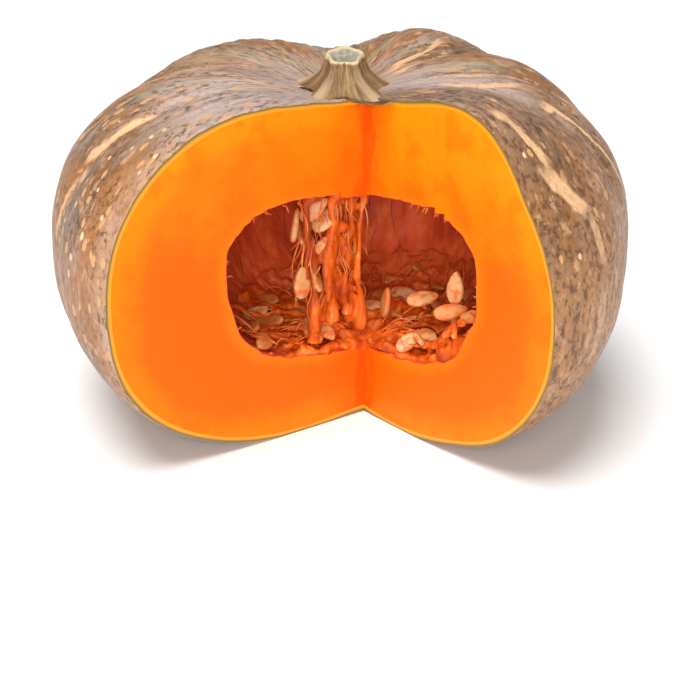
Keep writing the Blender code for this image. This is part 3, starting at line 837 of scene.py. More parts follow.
heroSeeds = (  # spot, the way its point lies, and the way its flat side faces
    (behindLeftCut(0.0227, 0.0055, 0.0219), (0.75, 0.1, 0.62), (0.5, -0.75, 0.8)),
    (behindLeftCut(0.0164, 0.0060, 0.0161), (0.70, 0.2, 0.60), (0.5, -0.6, 1.0)),
    (behindLeftCut(0.0306, 0.0080, 0.0156), (0.16, 0.1, 1.0), (-1.0, -0.05, 0.1)),
    (behindLeftCut(0.0170, 0.0060, 0.0036), (0.62, 0.1, 0.75), (0.6, -0.8, 0.3)),
    (behindLeftCut(0.0298, 0.0040, -0.0099), (0.02, 0.0, 1.0), (0.55, -0.8, 0.1)),
    (behindLeftCut(0.0211, 0.0065, -0.0105), (-0.35, 0.1, 0.90), (0.95, -0.35, 0.3)),
    (behindLeftCut(0.0250, 0.0100, 0.0090), (-0.50, 0.2, 0.80), (0.6, -0.5, 0.6)),
    (behindLeftCut(0.0160, 0.0120, -0.0345), (1.0, 0.1, 0.12), (0.1, -0.5, 1.0)),
    (behindRightCut(0.0456, 0.0100, -0.0060), (0.05, 0.1, 1.0), (-0.5, -0.8, 0.1)),
    (behindRightCut(0.0221, 0.0140, -0.0200), (1.0, 0.1, 0.15), (0.1, -0.5, 1.0)),
    (behindRightCut(0.0482, 0.0050, -0.0145), (1.0, 0.3, 0.05), (0.1, -0.4, 1.0)),
    (behindRightCut(0.0040, 0.0090, -0.0265), (0.15, 0.1, 1.0), (-0.95, -0.35, 0.1)),
)


def turnOf(along, face):  # the rotation that lays a seed's length along one way with its flat side to another
    zAxis = Vector(along).normalized()
    yAxis = (Vector(face) - zAxis * Vector(face).dot(zAxis)).normalized()
    turned = Matrix((yAxis.cross(zAxis), yAxis, zAxis)).transposed()
    return turned.to_euler()


def seedSpots():
    spots, turns, sizes = [], [], []
    for spot, along, face in heroSeeds:
        spots.append(spot)
        turns.append(turnOf(along, face))
        sizes.append(dice.uniform(0.92, 1.05))
    for number in range(seed["scattered"]):  # half sunk in the bed
        azimuth = fruit["rightCut"] + 5 + (350 + fruit["leftCut"] - fruit["rightCut"]) * ((number * 0.618 + 0.3) % 1)
        wall = float(bedReach(np.array([azimuth]))[0])
        spot = onBed(np.array([azimuth]), np.array([wall * dice.uniform(0.25, 0.93)]))[0]
        spot[2] += dice.uniform(0.0005, 0.0030)
        turn = dice.uniform(0, math.tau)
        spots.append(spot)
        turns.append(turnOf((math.cos(turn), math.sin(turn), dice.uniform(-0.3, 0.6)), (0.2, -0.5, dice.uniform(0.2, 1))))
        sizes.append(dice.uniform(0.8, 1.05))
    return toFrame(np.array(spots)), np.array([tuple(t) for t in turns]), np.array(sizes)


def newTree(name, sizes):  # a geometry tree with named inputs for its sizes
    tree = bpy.data.node_groups.new(name, "GeometryNodeTree")
    tree.interface.new_socket("Geometry", in_out="INPUT", socket_type="NodeSocketGeometry")
    for label, (kind, value) in sizes.items():
        socket = tree.interface.new_socket(label, in_out="INPUT", socket_type=kind)
        if value is not None:
            socket.default_value = value
    tree.interface.new_socket("Geometry", in_out="OUTPUT", socket_type="NodeSocketGeometry")
    return tree, tree.nodes.new("NodeGroupInput"), tree.nodes.new("NodeGroupOutput")


def grownByTree(obj, tree, values):  # runs the tree on the object and keeps the result as a plain mesh
    modifier = obj.modifiers.new(tree.name, "NODES")
    modifier.node_group = tree
    for item in tree.interface.items_tree:
        if item.in_out == "INPUT" and item.name in values:
            modifier[item.identifier] = values[item.name]
    evaluated = obj.evaluated_get(bpy.context.evaluated_depsgraph_get())
    obj.data = bpy.data.meshes.new_from_object(evaluated)
    obj.modifiers.clear()
    return obj


def seedTree(material):
    tree, given, result = newTree("seedPlacing", {"Seed": ("NodeSocketObject", None), "Size": ("NodeSocketFloat", 1.0)})
    turn = add(tree, "InputNamedAttribute", {0: "turn"}, data_type="FLOAT_VECTOR")
    size = add(tree, "InputNamedAttribute", {0: "size"}, data_type="FLOAT")
    shape = add(tree, "ObjectInfo", {"Object": given.outputs["Seed"]}, out="Geometry")
    scaled = add(tree, "Math", {0: size, 1: given.outputs["Size"]}, operation="MULTIPLY")
    placed = add(tree, "InstanceOnPoints", {"Points": given.outputs["Geometry"], "Instance": shape, "Rotation": turn,
                                            "Scale": scaled})
    shade = add(tree, "RandomValue", {2: 0.0, 3: 1.0, 8: 5}, out=1, data_type="FLOAT")
    tagged = add(tree, "StoreNamedAttribute", {"Geometry": placed, "Name": "shade", "Value": shade},
                 data_type="FLOAT", domain="INSTANCE")
    real = add(tree, "RealizeInstances", {0: tagged})
    coloured = add(tree, "SetMaterial", {"Geometry": real, "Material": material})
    tree.links.new(coloured, result.inputs[0])
    return tree


def makeSeeds(material):
    shape = seedMesh()
    spots, turns, sizes = seedSpots()
    cloud = meshObject("pulpSeeds", spots, [], {"turn": turns, "size": sizes})
    grownByTree(cloud, seedTree(material), {"Seed": shape, "Size": 1.0})
    bpy.data.objects.remove(shape)
    cloud.data.shade_smooth()
    return cloud


# Fine fibres: on the wall, through the curtain, over the bed and from the torn rim

fibre = {"onWall": 110, "inCurtain": 50, "onBed": 150, "onRim": 34, "thickness": 1.0, "sides": 6}


def wallFibres():
    for number in range(fibre["onWall"]):
        turn = fruit["rightCut"] + 3 + (354 + fruit["leftCut"] - fruit["rightCut"]) * dice.random()
        slope, length = dice.uniform(0.9, 2.2), dice.uniform(0.15, 0.5)
        phase, sway = dice.uniform(0, math.tau), dice.uniform(0.5, 2.5)
        steps = np.linspace(0, 1, 10)
        turns = np.radians(turn + sway * np.sin(steps * 5 + phase))
        slopes = slope + length * steps
        ways = np.stack([np.sin(turns) * np.sin(slopes), -np.cos(turns) * np.sin(slopes), np.cos(slopes)], -1)
        off = 0.0002 + 0.0014 * np.sin(np.pi * steps) * dice.random() ** 2
        yield apex + ways * (rayLength(ways, outsideCavity) - off)[:, None], dice.uniform(0.00012, 0.00034)


def curtainFibres():
    for number in range(fibre["inCurtain"]):
        along = dice.uniform(pulp["curtainFirst"], pulp["curtainLast"] + 0.002)
        inside = dice.uniform(pulp["curtainFront"] - 0.002, pulp["curtainFront"] + 0.004)
        top, fall = dice.uniform(-0.015, roofHeight), dice.uniform(0.010, 0.035)
        drift, phase = dice.uniform(-0.006, 0.006), dice.uniform(0, math.tau)
        path = []
        for step in range(10):
            share = step / 9
            sway = 0.0010 * math.sin(6 * share + phase)
            height = max(top - fall * share, pulp["floorLevel"])
            path.append(behindLeftCut(along + drift * share + sway, inside + sway, height))
        yield np.array(path), dice.uniform(0.00013, 0.00035)
    for along, top, low, drift in ((0.0292, 0.0040, -0.0030, 0.0006), (0.0285, 0.0080, -0.0020, 0.0012)):
        path = [behindLeftCut(along + drift * s / 6, 0.0042, top + (low - top) * s / 6) for s in range(7)]
        yield np.array(path), 0.00045  # the threads that the lowest seed hangs on


def bedFibres():
    for number in range(fibre["onBed"]):
        azimuth = fruit["rightCut"] + 3 + (354 + fruit["leftCut"] - fruit["rightCut"]) * dice.random()
        wall = float(bedReach(np.array([azimuth]))[0])
        start, span, bend = wall * dice.uniform(0.1, 0.85), dice.uniform(0.006, 0.020), dice.uniform(-16, 16)
        arch, path = dice.uniform(0.001, 0.0045), []
        for step in range(10):
            share = step / 9
            spot = onBed(np.array([azimuth + bend * share]), np.array([min(start + span * share, wall - 0.0005)]))[0]
            spot[2] += 0.0012 + arch * math.sin(math.pi * share)
            path.append(spot)
        yield np.array(path), dice.uniform(0.00018, 0.00045)


def rimFibres():  # short tatters along the cavity's edge on the right cut, and a few on the left
    for number in range(fibre["onRim"]):
        onRight = number % 4 != 0
        turn = fruit["rightCut"] + 0.6 if onRight else 360 + fruit["leftCut"] - 0.6
        slope = dice.uniform(0.75, 2.0)
        inward, phase = dice.uniform(0.002, 0.0055), dice.uniform(0, math.tau)
        way = np.array([math.sin(math.radians(turn)) * math.sin(slope), -math.cos(math.radians(turn)) * math.sin(slope),
                        math.cos(slope)])
        wall = float(rayLength(way[None], outsideCavity)[0])
        deep = polar(np.array(turn + (90 if onRight else -90)), 1.0)
        path = []
        for step in range(7):
            share = step / 6
            spot = apex + way * (wall + 0.0006 - inward * share) + deep * (0.0004 + 0.0015 * share)
            spot = spot + np.array([0, 0, -0.0012 * share * share]) + 0.0003 * math.sin(5 * share + phase)
            path.append(spot)
        yield np.array(path), dice.uniform(0.00020, 0.00045)


def fibreTree(material):
    tree, given, result = newTree("fibreTubes", {"Thickness": ("NodeSocketFloat", 1.0), "Sides": ("NodeSocketInt", 6)})
    radius = add(tree, "InputNamedAttribute", {0: "thin"}, data_type="FLOAT")
    wanted = add(tree, "Math", {0: radius, 1: given.outputs["Thickness"]}, operation="MULTIPLY")
    curves = add(tree, "MeshToCurve", {0: given.outputs["Geometry"]})
    ring = add(tree, "CurvePrimitiveCircle", {"Resolution": given.outputs["Sides"], "Radius": 1.0})
    tubes = add(tree, "CurveToMesh", {"Curve": curves, "Profile Curve": ring, "Scale": wanted, "Fill Caps": True})
    real = add(tree, "RealizeInstances", {0: tubes})
    coloured = add(tree, "SetMaterial", {"Geometry": real, "Material": material})
    tree.links.new(coloured, result.inputs[0])
    return tree


def makeFibres(name, paths, material):
    points, edges, thin = [], [], []
    for path, radius in paths:
        start = len(points)
        for number, spot in enumerate(path):
            points.append(spot)
            thin.append(radius * (1.0 - 0.75 * (number / (len(path) - 1)) ** 3))
        edges += [(start + n, start + n + 1) for n in range(len(path) - 1)]
    mesh = bpy.data.meshes.new(name)
    mesh.from_pydata([tuple(p) for p in toFrame(np.array(points))], edges, [])
    layer = mesh.attributes.new("thin", "FLOAT", "POINT")
    layer.data.foreach_set("value", np.array(thin, np.float32))
    obj = bpy.data.objects.new(name, mesh)
    bpy.context.scene.collection.objects.link(obj)
    grownByTree(obj, fibreTree(material), {"Thickness": fibre["thickness"], "Sides": fibre["sides"]})
    obj.data.shade_smooth()
    return obj


# Waxy rind: tan and grey-green under a lilac bloom, with orange-brown patches, cream scars and freckles

scars = {  # around and theta of each end, width in mm, strength
    "leftLong": (285.5, 0.62, 283.3, 1.04, 4.4, 1.0),
    "leftBlob": (286.5, 1.05, 286.8, 1.14, 6.5, 1.0),
    "leftLow": (284.5, 1.12, 283.0, 1.45, 2.6, 0.75),
    "leftPink": (262.0, 0.78, 258.0, 0.36, 1.6, 0.55),
    "leftTop": (266.0, 0.34, 280.0, 0.18, 1.2, 0.55),
    "leftEdge": (272.0, 0.85, 268.0, 1.40, 1.6, 0.5),
    "rightUpper": (47.5, 0.57, 52.0, 0.87, 4.4, 0.95),
    "rightMiddle": (49.5, 0.88, 57.0, 1.16, 9.5, 0.95),
    "rightLow": (57.5, 1.17, 58.0, 1.42, 4.6, 0.6),
    "rightPatch": (57.0, 1.50, 55.0, 1.80, 7.5, 0.45),
    "rightFurrow": (82.0, 0.66, 85.0, 1.30, 2.7, 0.95),
    "rightEdge": (76.0, 1.40, 75.5, 1.95, 1.6, 0.7),
    "crownOne": (131.0, 0.12, 139.0, 0.46, 1.9, 0.9),
    "crownTwo": (121.0, 0.12, 131.0, 0.42, 1.5, 0.8),
    "crownThree": (79.0, 0.26, 86.0, 0.55, 1.6, 0.7),
    "crownFour": (89.0, 0.28, 93.0, 0.60, 1.4, 0.6),
    "crownFive": (98.0, 0.28, 101.0, 0.58, 1.6, 0.7),
    "shoulderLine": (92.0, 0.72, 95.0, 1.10, 1.6, 0.65),
    "backOne": (200.0, 0.70, 203.0, 1.45, 2.6, 0.9),
    "backTwo": (168.0, 0.80, 166.0, 1.30, 3.2, 0.9),
    "backThree": (226.0, 0.90, 224.0, 1.60, 2.4, 0.9),
    "backFour": (148.0, 1.00, 150.0, 1.60, 3.6, 0.8),
    "backFive": (118.0, 0.75, 120.0, 1.50, 2.2, 0.85),
}
freckles = (  # around, theta and size in mm of the largest pale spots
    (291.8, 1.21, 2.0), (300.2, 1.30, 2.4), (297.0, 1.43, 1.9), (296.2, 1.51, 2.0), (304.8, 1.17, 1.6),
    (298.7, 1.07, 1.4), (308.4, 0.90, 1.3), (298.4, 0.82, 1.4), (309.0, 0.80, 1.6), (301.2, 0.73, 1.3),
    (302.8, 0.67, 1.3), (293.9, 0.92, 1.3), (288.0, 1.33, 1.5), (46.0, 0.80, 1.4), (50.0, 1.32, 1.7),
)


def scarMask(tree, around, theta, girth, wander):
    total = None
    for fromAround, fromTheta, toAround, toTheta, width, strength in scars.values():
        low, high = min(fromTheta, toTheta), max(fromTheta, toTheta)
        lowAround, highAround = (fromAround, toAround) if fromTheta < toTheta else (toAround, fromAround)
        line = add(tree, "MapRange", {0: theta, 1: low, 2: high, 3: lowAround, 4: highAround})
        aside = add(tree, "Math", {0: around, 1: line}, operation="SUBTRACT")
        across = add(tree, "Math", {0: aside, 1: girth, 2: wander}, operation="MULTIPLY_ADD")
        apart = add(tree, "Math", {0: across}, operation="ABSOLUTE")
        side = add(tree, "MapRange", {0: apart, 1: width * 0.60, 2: width * 0.34, 3: 0.0, 4: strength}, **smooth)
        begin = add(tree, "MapRange", {0: theta, 1: low - 0.03, 2: low + 0.05}, **smooth)
        end = add(tree, "MapRange", {0: theta, 1: high + 0.03, 2: high - 0.05}, **smooth)
        length = add(tree, "Math", {0: begin, 1: end}, operation="MULTIPLY")
        mask = add(tree, "Math", {0: side, 1: length}, operation="MULTIPLY")
        total = mask if total is None else add(tree, "Math", {0: total, 1: mask}, operation="MAXIMUM")
    return total


def freckleMask(tree, around, theta, girth, wander):
    total = None
    for spotAround, spotTheta, size in freckles:
        aside = add(tree, "Math", {0: around, 1: spotAround}, operation="SUBTRACT")
        across = add(tree, "Math", {0: aside, 1: girth, 2: wander}, operation="MULTIPLY_ADD")
        along = add(tree, "Math", {0: theta, 1: spotTheta}, operation="SUBTRACT")
        down = add(tree, "Math", {0: along, 1: fruit["radius"] * 1000 * 0.55}, operation="MULTIPLY")
        apart = add(tree, "VectorMath", {0: add(tree, "CombineXYZ", {0: across, 1: down})}, out=1, operation="LENGTH")
        mask = add(tree, "MapRange", {0: apart, 1: size * 0.75, 2: size * 0.45}, **smooth)
        total = mask if total is None else add(tree, "Math", {0: total, 1: mask}, operation="MAXIMUM")
    return total


def rindMaterial():
    material, tree, shader = newMaterial("waxyRind")
    skin = add(tree, "Attribute", attribute_name="skinMap", out="Vector")
    around, theta, furrow, fromCut, depth = (add(tree, "Attribute", attribute_name=name, out="Fac")
                                             for name in ("around", "theta", "furrow", "fromCut", "depth"))
    stretched = add(tree, "Mapping", {"Vector": skin, "Scale": (1, 1, 0.35)})
    drawnOut = add(tree, "Mapping", {"Vector": skin, "Scale": (1, 1, 0.13)})
    blotchy = add(tree, "Mapping", {"Vector": skin, "Scale": (1, 1, 0.62)})
    rightLobe = add(tree, "MapRange", {0: around, 1: 82.0, 2: 58.0}, **smooth)
    leftLobe = add(tree, "MapRange", {0: around, 1: 268.0, 2: 290.0}, **smooth)
    girth = add(tree, "Math", {0: add(tree, "Math", {0: theta}, operation="SINE"),
                               1: fruit["radius"] * 1000 * math.pi / 180}, operation="MULTIPLY")
    # Broad areas, 30 to 60 mm across
    broad = add(tree, "TexNoise", {"Vector": stretched, "Scale": 32.0, "Detail": 2.0})
    colour = add(tree, "ValToRGB", {0: broad}, stops=(
        (0.32, "#7C5E42"), (0.44, "#90643E"), (0.56, "#A26E42"), (0.70, "#AE7E56")))
    green = add(tree, "TexNoise", {"Vector": stretched, "Scale": 48.0, "Detail": 3.0})
    green = add(tree, "MapRange", {0: green, 1: 0.46, 2: 0.62, 4: 0.75}, **smooth)
    shoulder = add(tree, "MapRange", {0: theta, 1: 0.95, 2: 0.30, 3: 0.05, 4: 1.0}, **smooth)
    green = add(tree, "Math", {0: green, 1: shoulder}, operation="MULTIPLY")
    colour = add(tree, "Mix", {0: green, 6: colour, 7: "#A09A82"}, **blend)
    bloom = add(tree, "TexNoise", {"Vector": stretched, "Scale": 75.0, "Detail": 4.0, "Roughness": 0.6})
    bloom = add(tree, "MapRange", {0: bloom, 1: 0.50, 2: 0.68, 4: 0.60}, **smooth)
    colour = add(tree, "Mix", {0: bloom, 6: colour, 7: "#B99C92"}, **blend)
    nearCut = add(tree, "MapRange", {0: fromCut, 1: 16.0, 2: 2.0, 4: 0.65}, **smooth)
    nearCut = add(tree, "Math", {0: nearCut, 1: add(tree, "MapRange", {0: rightLobe, 3: 1.0, 4: 0.75})},
                  operation="MULTIPLY")
    colour = add(tree, "Mix", {0: nearCut, 6: colour, 7: "#CFA688"}, **blend)
    greyer = add(tree, "MapRange", {0: theta, 1: 0.85, 2: 0.45, 4: 0.85}, **smooth)
    greyer = add(tree, "Math", {0: greyer, 1: add(tree, "MapRange", {0: fromCut, 1: 90.0, 2: 30.0})},
                 operation="MULTIPLY")
    colour = add(tree, "Mix", {0: greyer, 6: colour, 7: "#C0AFAA"}, **blend)
    browner = add(tree, "MapRange", {0: fromCut, 1: 50.0, 2: 24.0, 4: 0.75}, **smooth)
    browner = add(tree, "Math", {0: browner, 1: rightLobe}, operation="MULTIPLY")
    colour = add(tree, "Mix", {0: browner, 6: colour, 7: "#805836"}, **blend)
    patch = add(tree, "TexNoise", {"Vector": stretched, "Scale": 62.0, "Detail": 4.0, "Roughness": 0.6})
    patch = add(tree, "MapRange", {0: patch, 1: 0.44, 2: 0.60, 4: 0.90}, **smooth)
    side = add(tree, "MapRange", {0: theta, 1: 0.70, 2: 1.35, 3: 0.25, 4: 1.0}, **smooth)
    patch = add(tree, "Math", {0: patch, 1: side}, operation="MULTIPLY")
    colour = add(tree, "Mix", {0: patch, 6: colour, 7: "#A86C38"}, **blend)
    warmer = add(tree, "MapRange", {0: around, 1: 105.0, 2: 70.0, 4: 0.55}, **smooth)
    warmer = add(tree, "Math", {0: warmer, 1: add(tree, "MapRange", {0: theta, 1: 1.15, 2: 1.50}, **smooth)},
                 operation="MULTIPLY")
    colour = add(tree, "Mix", {0: warmer, 6: colour, 7: "#B47A42"}, **blend)
    # Lines that run from the stem, 1 to 2 mm wide
    lines = add(tree, "TexNoise", {"Vector": drawnOut, "Scale": 400.0, "Detail": 3.0, "Roughness": 0.6})
    crown = add(tree, "MapRange", {0: theta, 1: 1.0, 2: 0.35, 3: 0.05, 4: 0.50}, **smooth)
    pale = add(tree, "MapRange", {0: lines, 1: 0.55, 2: 0.70}, **smooth)
    pale = add(tree, "Math", {0: pale, 1: crown}, operation="MULTIPLY")
    colour = add(tree, "Mix", {0: pale, 6: colour, 7: "#CDAA90"}, **blend)
    dark = add(tree, "MapRange", {0: lines, 1: 0.46, 2: 0.33}, **smooth)
    dark = add(tree, "Math", {0: dark, 1: crown}, operation="MULTIPLY")
    colour = add(tree, "Mix", {0: dark, 6: colour, 7: "#7C6448"}, **blend)
    # Mottling, 1 to 3 mm across, dark brown and pale
    mottle = add(tree, "TexNoise", {"Vector": blotchy, "Scale": 330.0, "Detail": 5.0, "Roughness": 0.72})
    darker = add(tree, "MapRange", {0: mottle, 1: 0.49, 2: 0.60, 4: 0.85}, **smooth)
    amount = add(tree, "TexNoise", {"Vector": skin, "Scale": 40.0, "Detail": 2.0})
    amount = add(tree, "MapRange", {0: amount, 1: 0.38, 2: 0.60, 3: 0.35, 4: 1.0}, **smooth)
    amount = add(tree, "Math", {0: amount, 1: rightLobe}, operation="MAXIMUM")
    darker = add(tree, "Math", {0: darker, 1: amount}, operation="MULTIPLY")
    colour = add(tree, "Mix", {0: darker, 6: colour, 7: "#583C26"}, **blend)
    blotch = add(tree, "TexNoise", {"Vector": blotchy, "Scale": 135.0, "Detail": 4.0, "Roughness": 0.62})
    blotch = add(tree, "MapRange", {0: blotch, 1: 0.57, 2: 0.66, 4: 0.65}, **smooth)
    colour = add(tree, "Mix", {0: blotch, 6: colour, 7: "#CE9C76"}, **blend)
    paler = add(tree, "MapRange", {0: mottle, 1: 0.44, 2: 0.33, 4: 0.50}, **smooth)
    colour = add(tree, "Mix", {0: paler, 6: colour, 7: "#C29A76"}, **blend)
    # Freckles, 1 to 2 mm wide and twice as long
    bent = add(tree, "TexNoise", {"Vector": skin, "Scale": 500.0, "Detail": 2.0}, out="Color")
    bent = add(tree, "VectorMath", {0: bent, 3: 0.0022}, operation="SCALE")
    bent = add(tree, "VectorMath", {0: bent, 1: add(tree, "Mapping", {"Vector": skin, "Scale": (1, 1, 0.5)})})
    spots = add(tree, "TexVoronoi", {"Vector": bent, "Scale": 210.0, "Randomness": 1.0}, out="Distance")
    chance = add(tree, "SeparateColor", {0: spots.node.outputs["Color"]})
    chance = add(tree, "MapRange", {0: chance, 1: 0.35, 2: 1.0, 4: 0.46})
    fleck = add(tree, "Math", {0: chance, 1: spots}, operation="SUBTRACT")
    fleck = add(tree, "MapRange", {0: fleck, 1: -0.02, 2: 0.10}, **smooth)
    where = add(tree, "TexNoise", {"Vector": skin, "Scale": 26.0, "Detail": 2.0})
    where = add(tree, "MapRange", {0: where, 1: 0.40, 2: 0.58, 3: 0.25, 4: 0.95}, **smooth)
    where = add(tree, "Math", {0: where, 1: leftLobe}, operation="MAXIMUM")
    fleck = add(tree, "Math", {0: fleck, 1: where}, operation="MULTIPLY")
    colour = add(tree, "Mix", {0: fleck, 6: colour, 7: "#D59E68"}, **blend)
    # Cream scars and the largest freckles
    wander = add(tree, "TexNoise", {"Vector": stretched, "Scale": 170.0, "Detail": 4.0, "Roughness": 0.65})
    wander = add(tree, "MapRange", {0: wander, 1: 0.3, 2: 0.7, 3: -1.3, 4: 1.3})
    scar = scarMask(tree, around, theta, girth, wander)
    broken = add(tree, "MapRange", {0: mottle, 1: 0.62, 2: 0.48, 3: 0.70, 4: 1.0}, **smooth)
    scar = add(tree, "Math", {0: scar, 1: broken}, operation="MULTIPLY")
    colour = add(tree, "Mix", {0: scar, 6: colour, 7: "#EBB98A"}, **blend)
    large = freckleMask(tree, around, theta, girth, add(tree, "Math", {0: wander, 1: 0.4}, operation="MULTIPLY"))
    colour = add(tree, "Mix", {0: large, 6: colour, 7: "#F0C394"}, **blend)
    # The cut edge: a thin dark green line, then the yellow of the flesh
    edge = add(tree, "ValToRGB", {0: depth}, stops=(
        (0.06, "#86704A"), (0.18, "#66582A"), (0.36, "#A88018"), (0.62, "#EA980C")))
    colour = add(tree, "Mix", {0: add(tree, "MapRange", {0: depth, 1: 0.01, 2: 0.08}, **smooth), 6: colour, 7: edge},
                 **blend)
    tree.links.new(colour, shader.inputs["Base Color"])
    rough = add(tree, "MapRange", {0: mottle, 1: 0.35, 2: 0.70, 3: 0.40, 4: 0.58})
    tree.links.new(rough, shader.inputs["Roughness"])
    shader.inputs["IOR"].default_value = 1.45
    shader.inputs["Coat Weight"].default_value = 0.12
    shader.inputs["Coat Roughness"].default_value = 0.35
    height = add(tree, "Math", {0: fleck, 1: 0.4, 2: mottle}, operation="MULTIPLY_ADD")
    height = add(tree, "Math", {0: scar, 1: 0.5, 2: height}, operation="MULTIPLY_ADD")
    bump = add(tree, "Bump", {"Height": height, "Strength": 0.35, "Distance": 0.0006})
    tree.links.new(bump, shader.inputs["Normal"])
    return material


# Cut flesh: moist and slightly translucent, yellow-orange under the rind, with painted shade that deepens it lower down
# and along the corner where the two cuts meet; the cavity's lining is dark red-brown
def fleshMaterial():
    material, tree, shader = newMaterial("cutFlesh")
    spot = add(tree, "TexCoord", out="Object")
    fromRind, fromCavity, corner, depth = (add(tree, "Attribute", attribute_name=name, out="Fac")
                                           for name in ("fromRind", "fromCavity", "fromCorner", "depth"))
    height = add(tree, "SeparateXYZ", {0: spot}, out="Z")
    cloud = add(tree, "TexNoise", {"Vector": spot, "Scale": 45.0, "Detail": 3.0})
    cloud = add(tree, "MapRange", {0: cloud, 1: 0.3, 2: 0.7, 3: -1.0, 4: 1.0})
    inward = add(tree, "Math", {0: cloud, 1: 3.0, 2: fromRind}, operation="MULTIPLY_ADD")
    colour = add(tree, "ValToRGB", {0: add(tree, "MapRange", {0: inward, 1: 0.0, 2: 28.0})}, stops=(
        (0.0, "#E88C08"), (0.18, "#F08206"), (0.50, "#F06A06"), (0.9, "#F06406")))
    # painted shade: the flesh turns a darker orange towards the bottom, standing in for the shadow of the loose slice
    # in front, which is not built
    low = add(tree, "Math", {0: cloud, 1: 0.012, 2: height}, operation="MULTIPLY_ADD")
    low = add(tree, "MapRange", {0: low, 1: 0.135, 2: 0.045, 4: 0.85}, **smooth)
    colour = add(tree, "Mix", {0: low, 6: colour, 7: "#EE6605"}, **blend)
    rindSide = add(tree, "MapRange", {0: inward, 1: 16.0, 2: 0.0, 4: 0.70}, **smooth)
    colour = add(tree, "Mix", {0: rindSide, 6: colour, 7: "#EF8408"}, **blend)
    rightCut = add(tree, "MapRange", {0: add(tree, "SeparateXYZ", {0: spot}, out="X"), 1: 0.000, 2: 0.008})
    upper = add(tree, "Math", {0: cloud, 1: 0.016, 2: height}, operation="MULTIPLY_ADD")
    upper = add(tree, "MapRange", {0: upper, 1: 0.085, 2: 0.140}, **smooth)
    upperShare = add(tree, "MapRange", {0: rightCut, 3: 0.45, 4: 0.80})
    upper = add(tree, "Math", {0: upper, 1: upperShare}, operation="MULTIPLY")
    colour = add(tree, "Mix", {0: upper, 6: colour, 7: "#F2920A"}, **blend)
    clouded = add(tree, "TexNoise", {"Vector": spot, "Scale": 58.0, "Detail": 3.0, "Roughness": 0.55})
    clouded = add(tree, "MapRange", {0: clouded, 1: 0.50, 2: 0.64, 4: 0.42}, **smooth)
    colour = add(tree, "Mix", {0: clouded, 6: colour, 7: "#EE6405"}, **blend)
    cavitySide = add(tree, "Math", {0: cloud, 1: 1.5, 2: fromCavity}, operation="MULTIPLY_ADD")
    cavitySide = add(tree, "MapRange", {0: cavitySide, 1: 7.0, 2: 0.5, 4: 0.75}, **smooth)
    colour = add(tree, "Mix", {0: cavitySide, 6: colour, 7: "#F07A0E"}, **blend)
    # painted shade: darker red-orange along the corner where the two cut faces meet
    deep = add(tree, "MapRange", {0: corner, 1: 24.0, 2: 6.0, 4: 0.55}, **smooth)
    colour = add(tree, "Mix", {0: deep, 6: colour, 7: "#EA6006"}, **blend)
    # more painted shade at the corner, darkest right at the corner line, with a ragged edge
    raggedShadeEdge = add(tree, "Mapping", {"Vector": spot, "Scale": (1, 1, 0.3)})
    raggedShadeEdge = add(tree, "TexNoise", {"Vector": raggedShadeEdge, "Scale": 260.0, "Detail": 4.0})
    raggedShadeEdge = add(tree, "MapRange", {0: raggedShadeEdge, 1: 0.35, 2: 0.65, 3: -3.5, 4: 3.5})
    raggedShadeEdge = add(tree, "Math", {0: raggedShadeEdge, 1: corner})
    cornerPaintedShade = add(tree, "MapRange", {0: raggedShadeEdge, 1: 6.5, 2: 1.0, 4: 0.62}, **smooth)
    colour = add(tree, "Mix", {0: cornerPaintedShade, 6: colour, 7: "#D84806"}, **blend)
    grain = add(tree, "Mapping", {"Vector": spot, "Scale": (1, 1, 0.4)})
    grain = add(tree, "TexNoise", {"Vector": grain, "Scale": 330.0, "Detail": 4.0, "Roughness": 0.6})
    veins = add(tree, "MapRange", {0: grain, 1: 0.48, 2: 0.74, 4: 0.22}, **smooth)
    colour = add(tree, "Mix", {0: veins, 6: colour, 7: "#E45C04"}, **blend)
    streaky = add(tree, "Mapping", {"Vector": spot, "Scale": (1, 1, 0.5)})
    streaky = add(tree, "TexNoise", {"Vector": streaky, "Scale": 95.0, "Detail": 5.0, "Roughness": 0.6})
    lining = add(tree, "ValToRGB", {0: streaky}, stops=(
        (0.30, "#C2452A"), (0.45, "#D8562E"), (0.58, "#E66634"), (0.72, "#F68844")))
    bruised = add(tree, "TexNoise", {"Vector": spot, "Scale": 38.0, "Detail": 2.0})
    bruised = add(tree, "MapRange", {0: bruised, 1: 0.50, 2: 0.64, 4: 0.55}, **smooth)
    lining = add(tree, "Mix", {0: bruised, 6: lining, 7: "#A83A36"}, **blend)
    ragged = add(tree, "TexNoise", {"Vector": spot, "Scale": 700.0, "Detail": 2.0})
    ragged = add(tree, "MapRange", {0: ragged, 1: 0.3, 2: 0.7, 3: -0.006, 4: 0.006})
    ragged = add(tree, "Math", {0: depth, 1: ragged})
    isLining = add(tree, "MapRange", {0: ragged, 1: 0.984, 2: 0.999}, **smooth)
    colour = add(tree, "Mix", {0: isLining, 6: colour, 7: lining}, **blend)
    tree.links.new(colour, shader.inputs["Base Color"])
    shader.inputs["Roughness"].default_value = 0.42
    shader.inputs["Specular IOR Level"].default_value = 0.15
    shader.inputs["IOR"].default_value = 1.38
    shader.inputs["Subsurface Weight"].default_value = 0.22
    shader.inputs["Subsurface Radius"].default_value = (1.0, 0.45, 0.12)
    shader.inputs["Subsurface Scale"].default_value = 0.003
    fine = add(tree, "TexNoise", {"Vector": spot, "Scale": 900.0, "Detail": 4.0, "Roughness": 0.6})
    bump = add(tree, "Bump", {"Height": fine, "Strength": 0.22, "Distance": 0.0004})
    tree.links.new(bump, shader.inputs["Normal"])
    return material
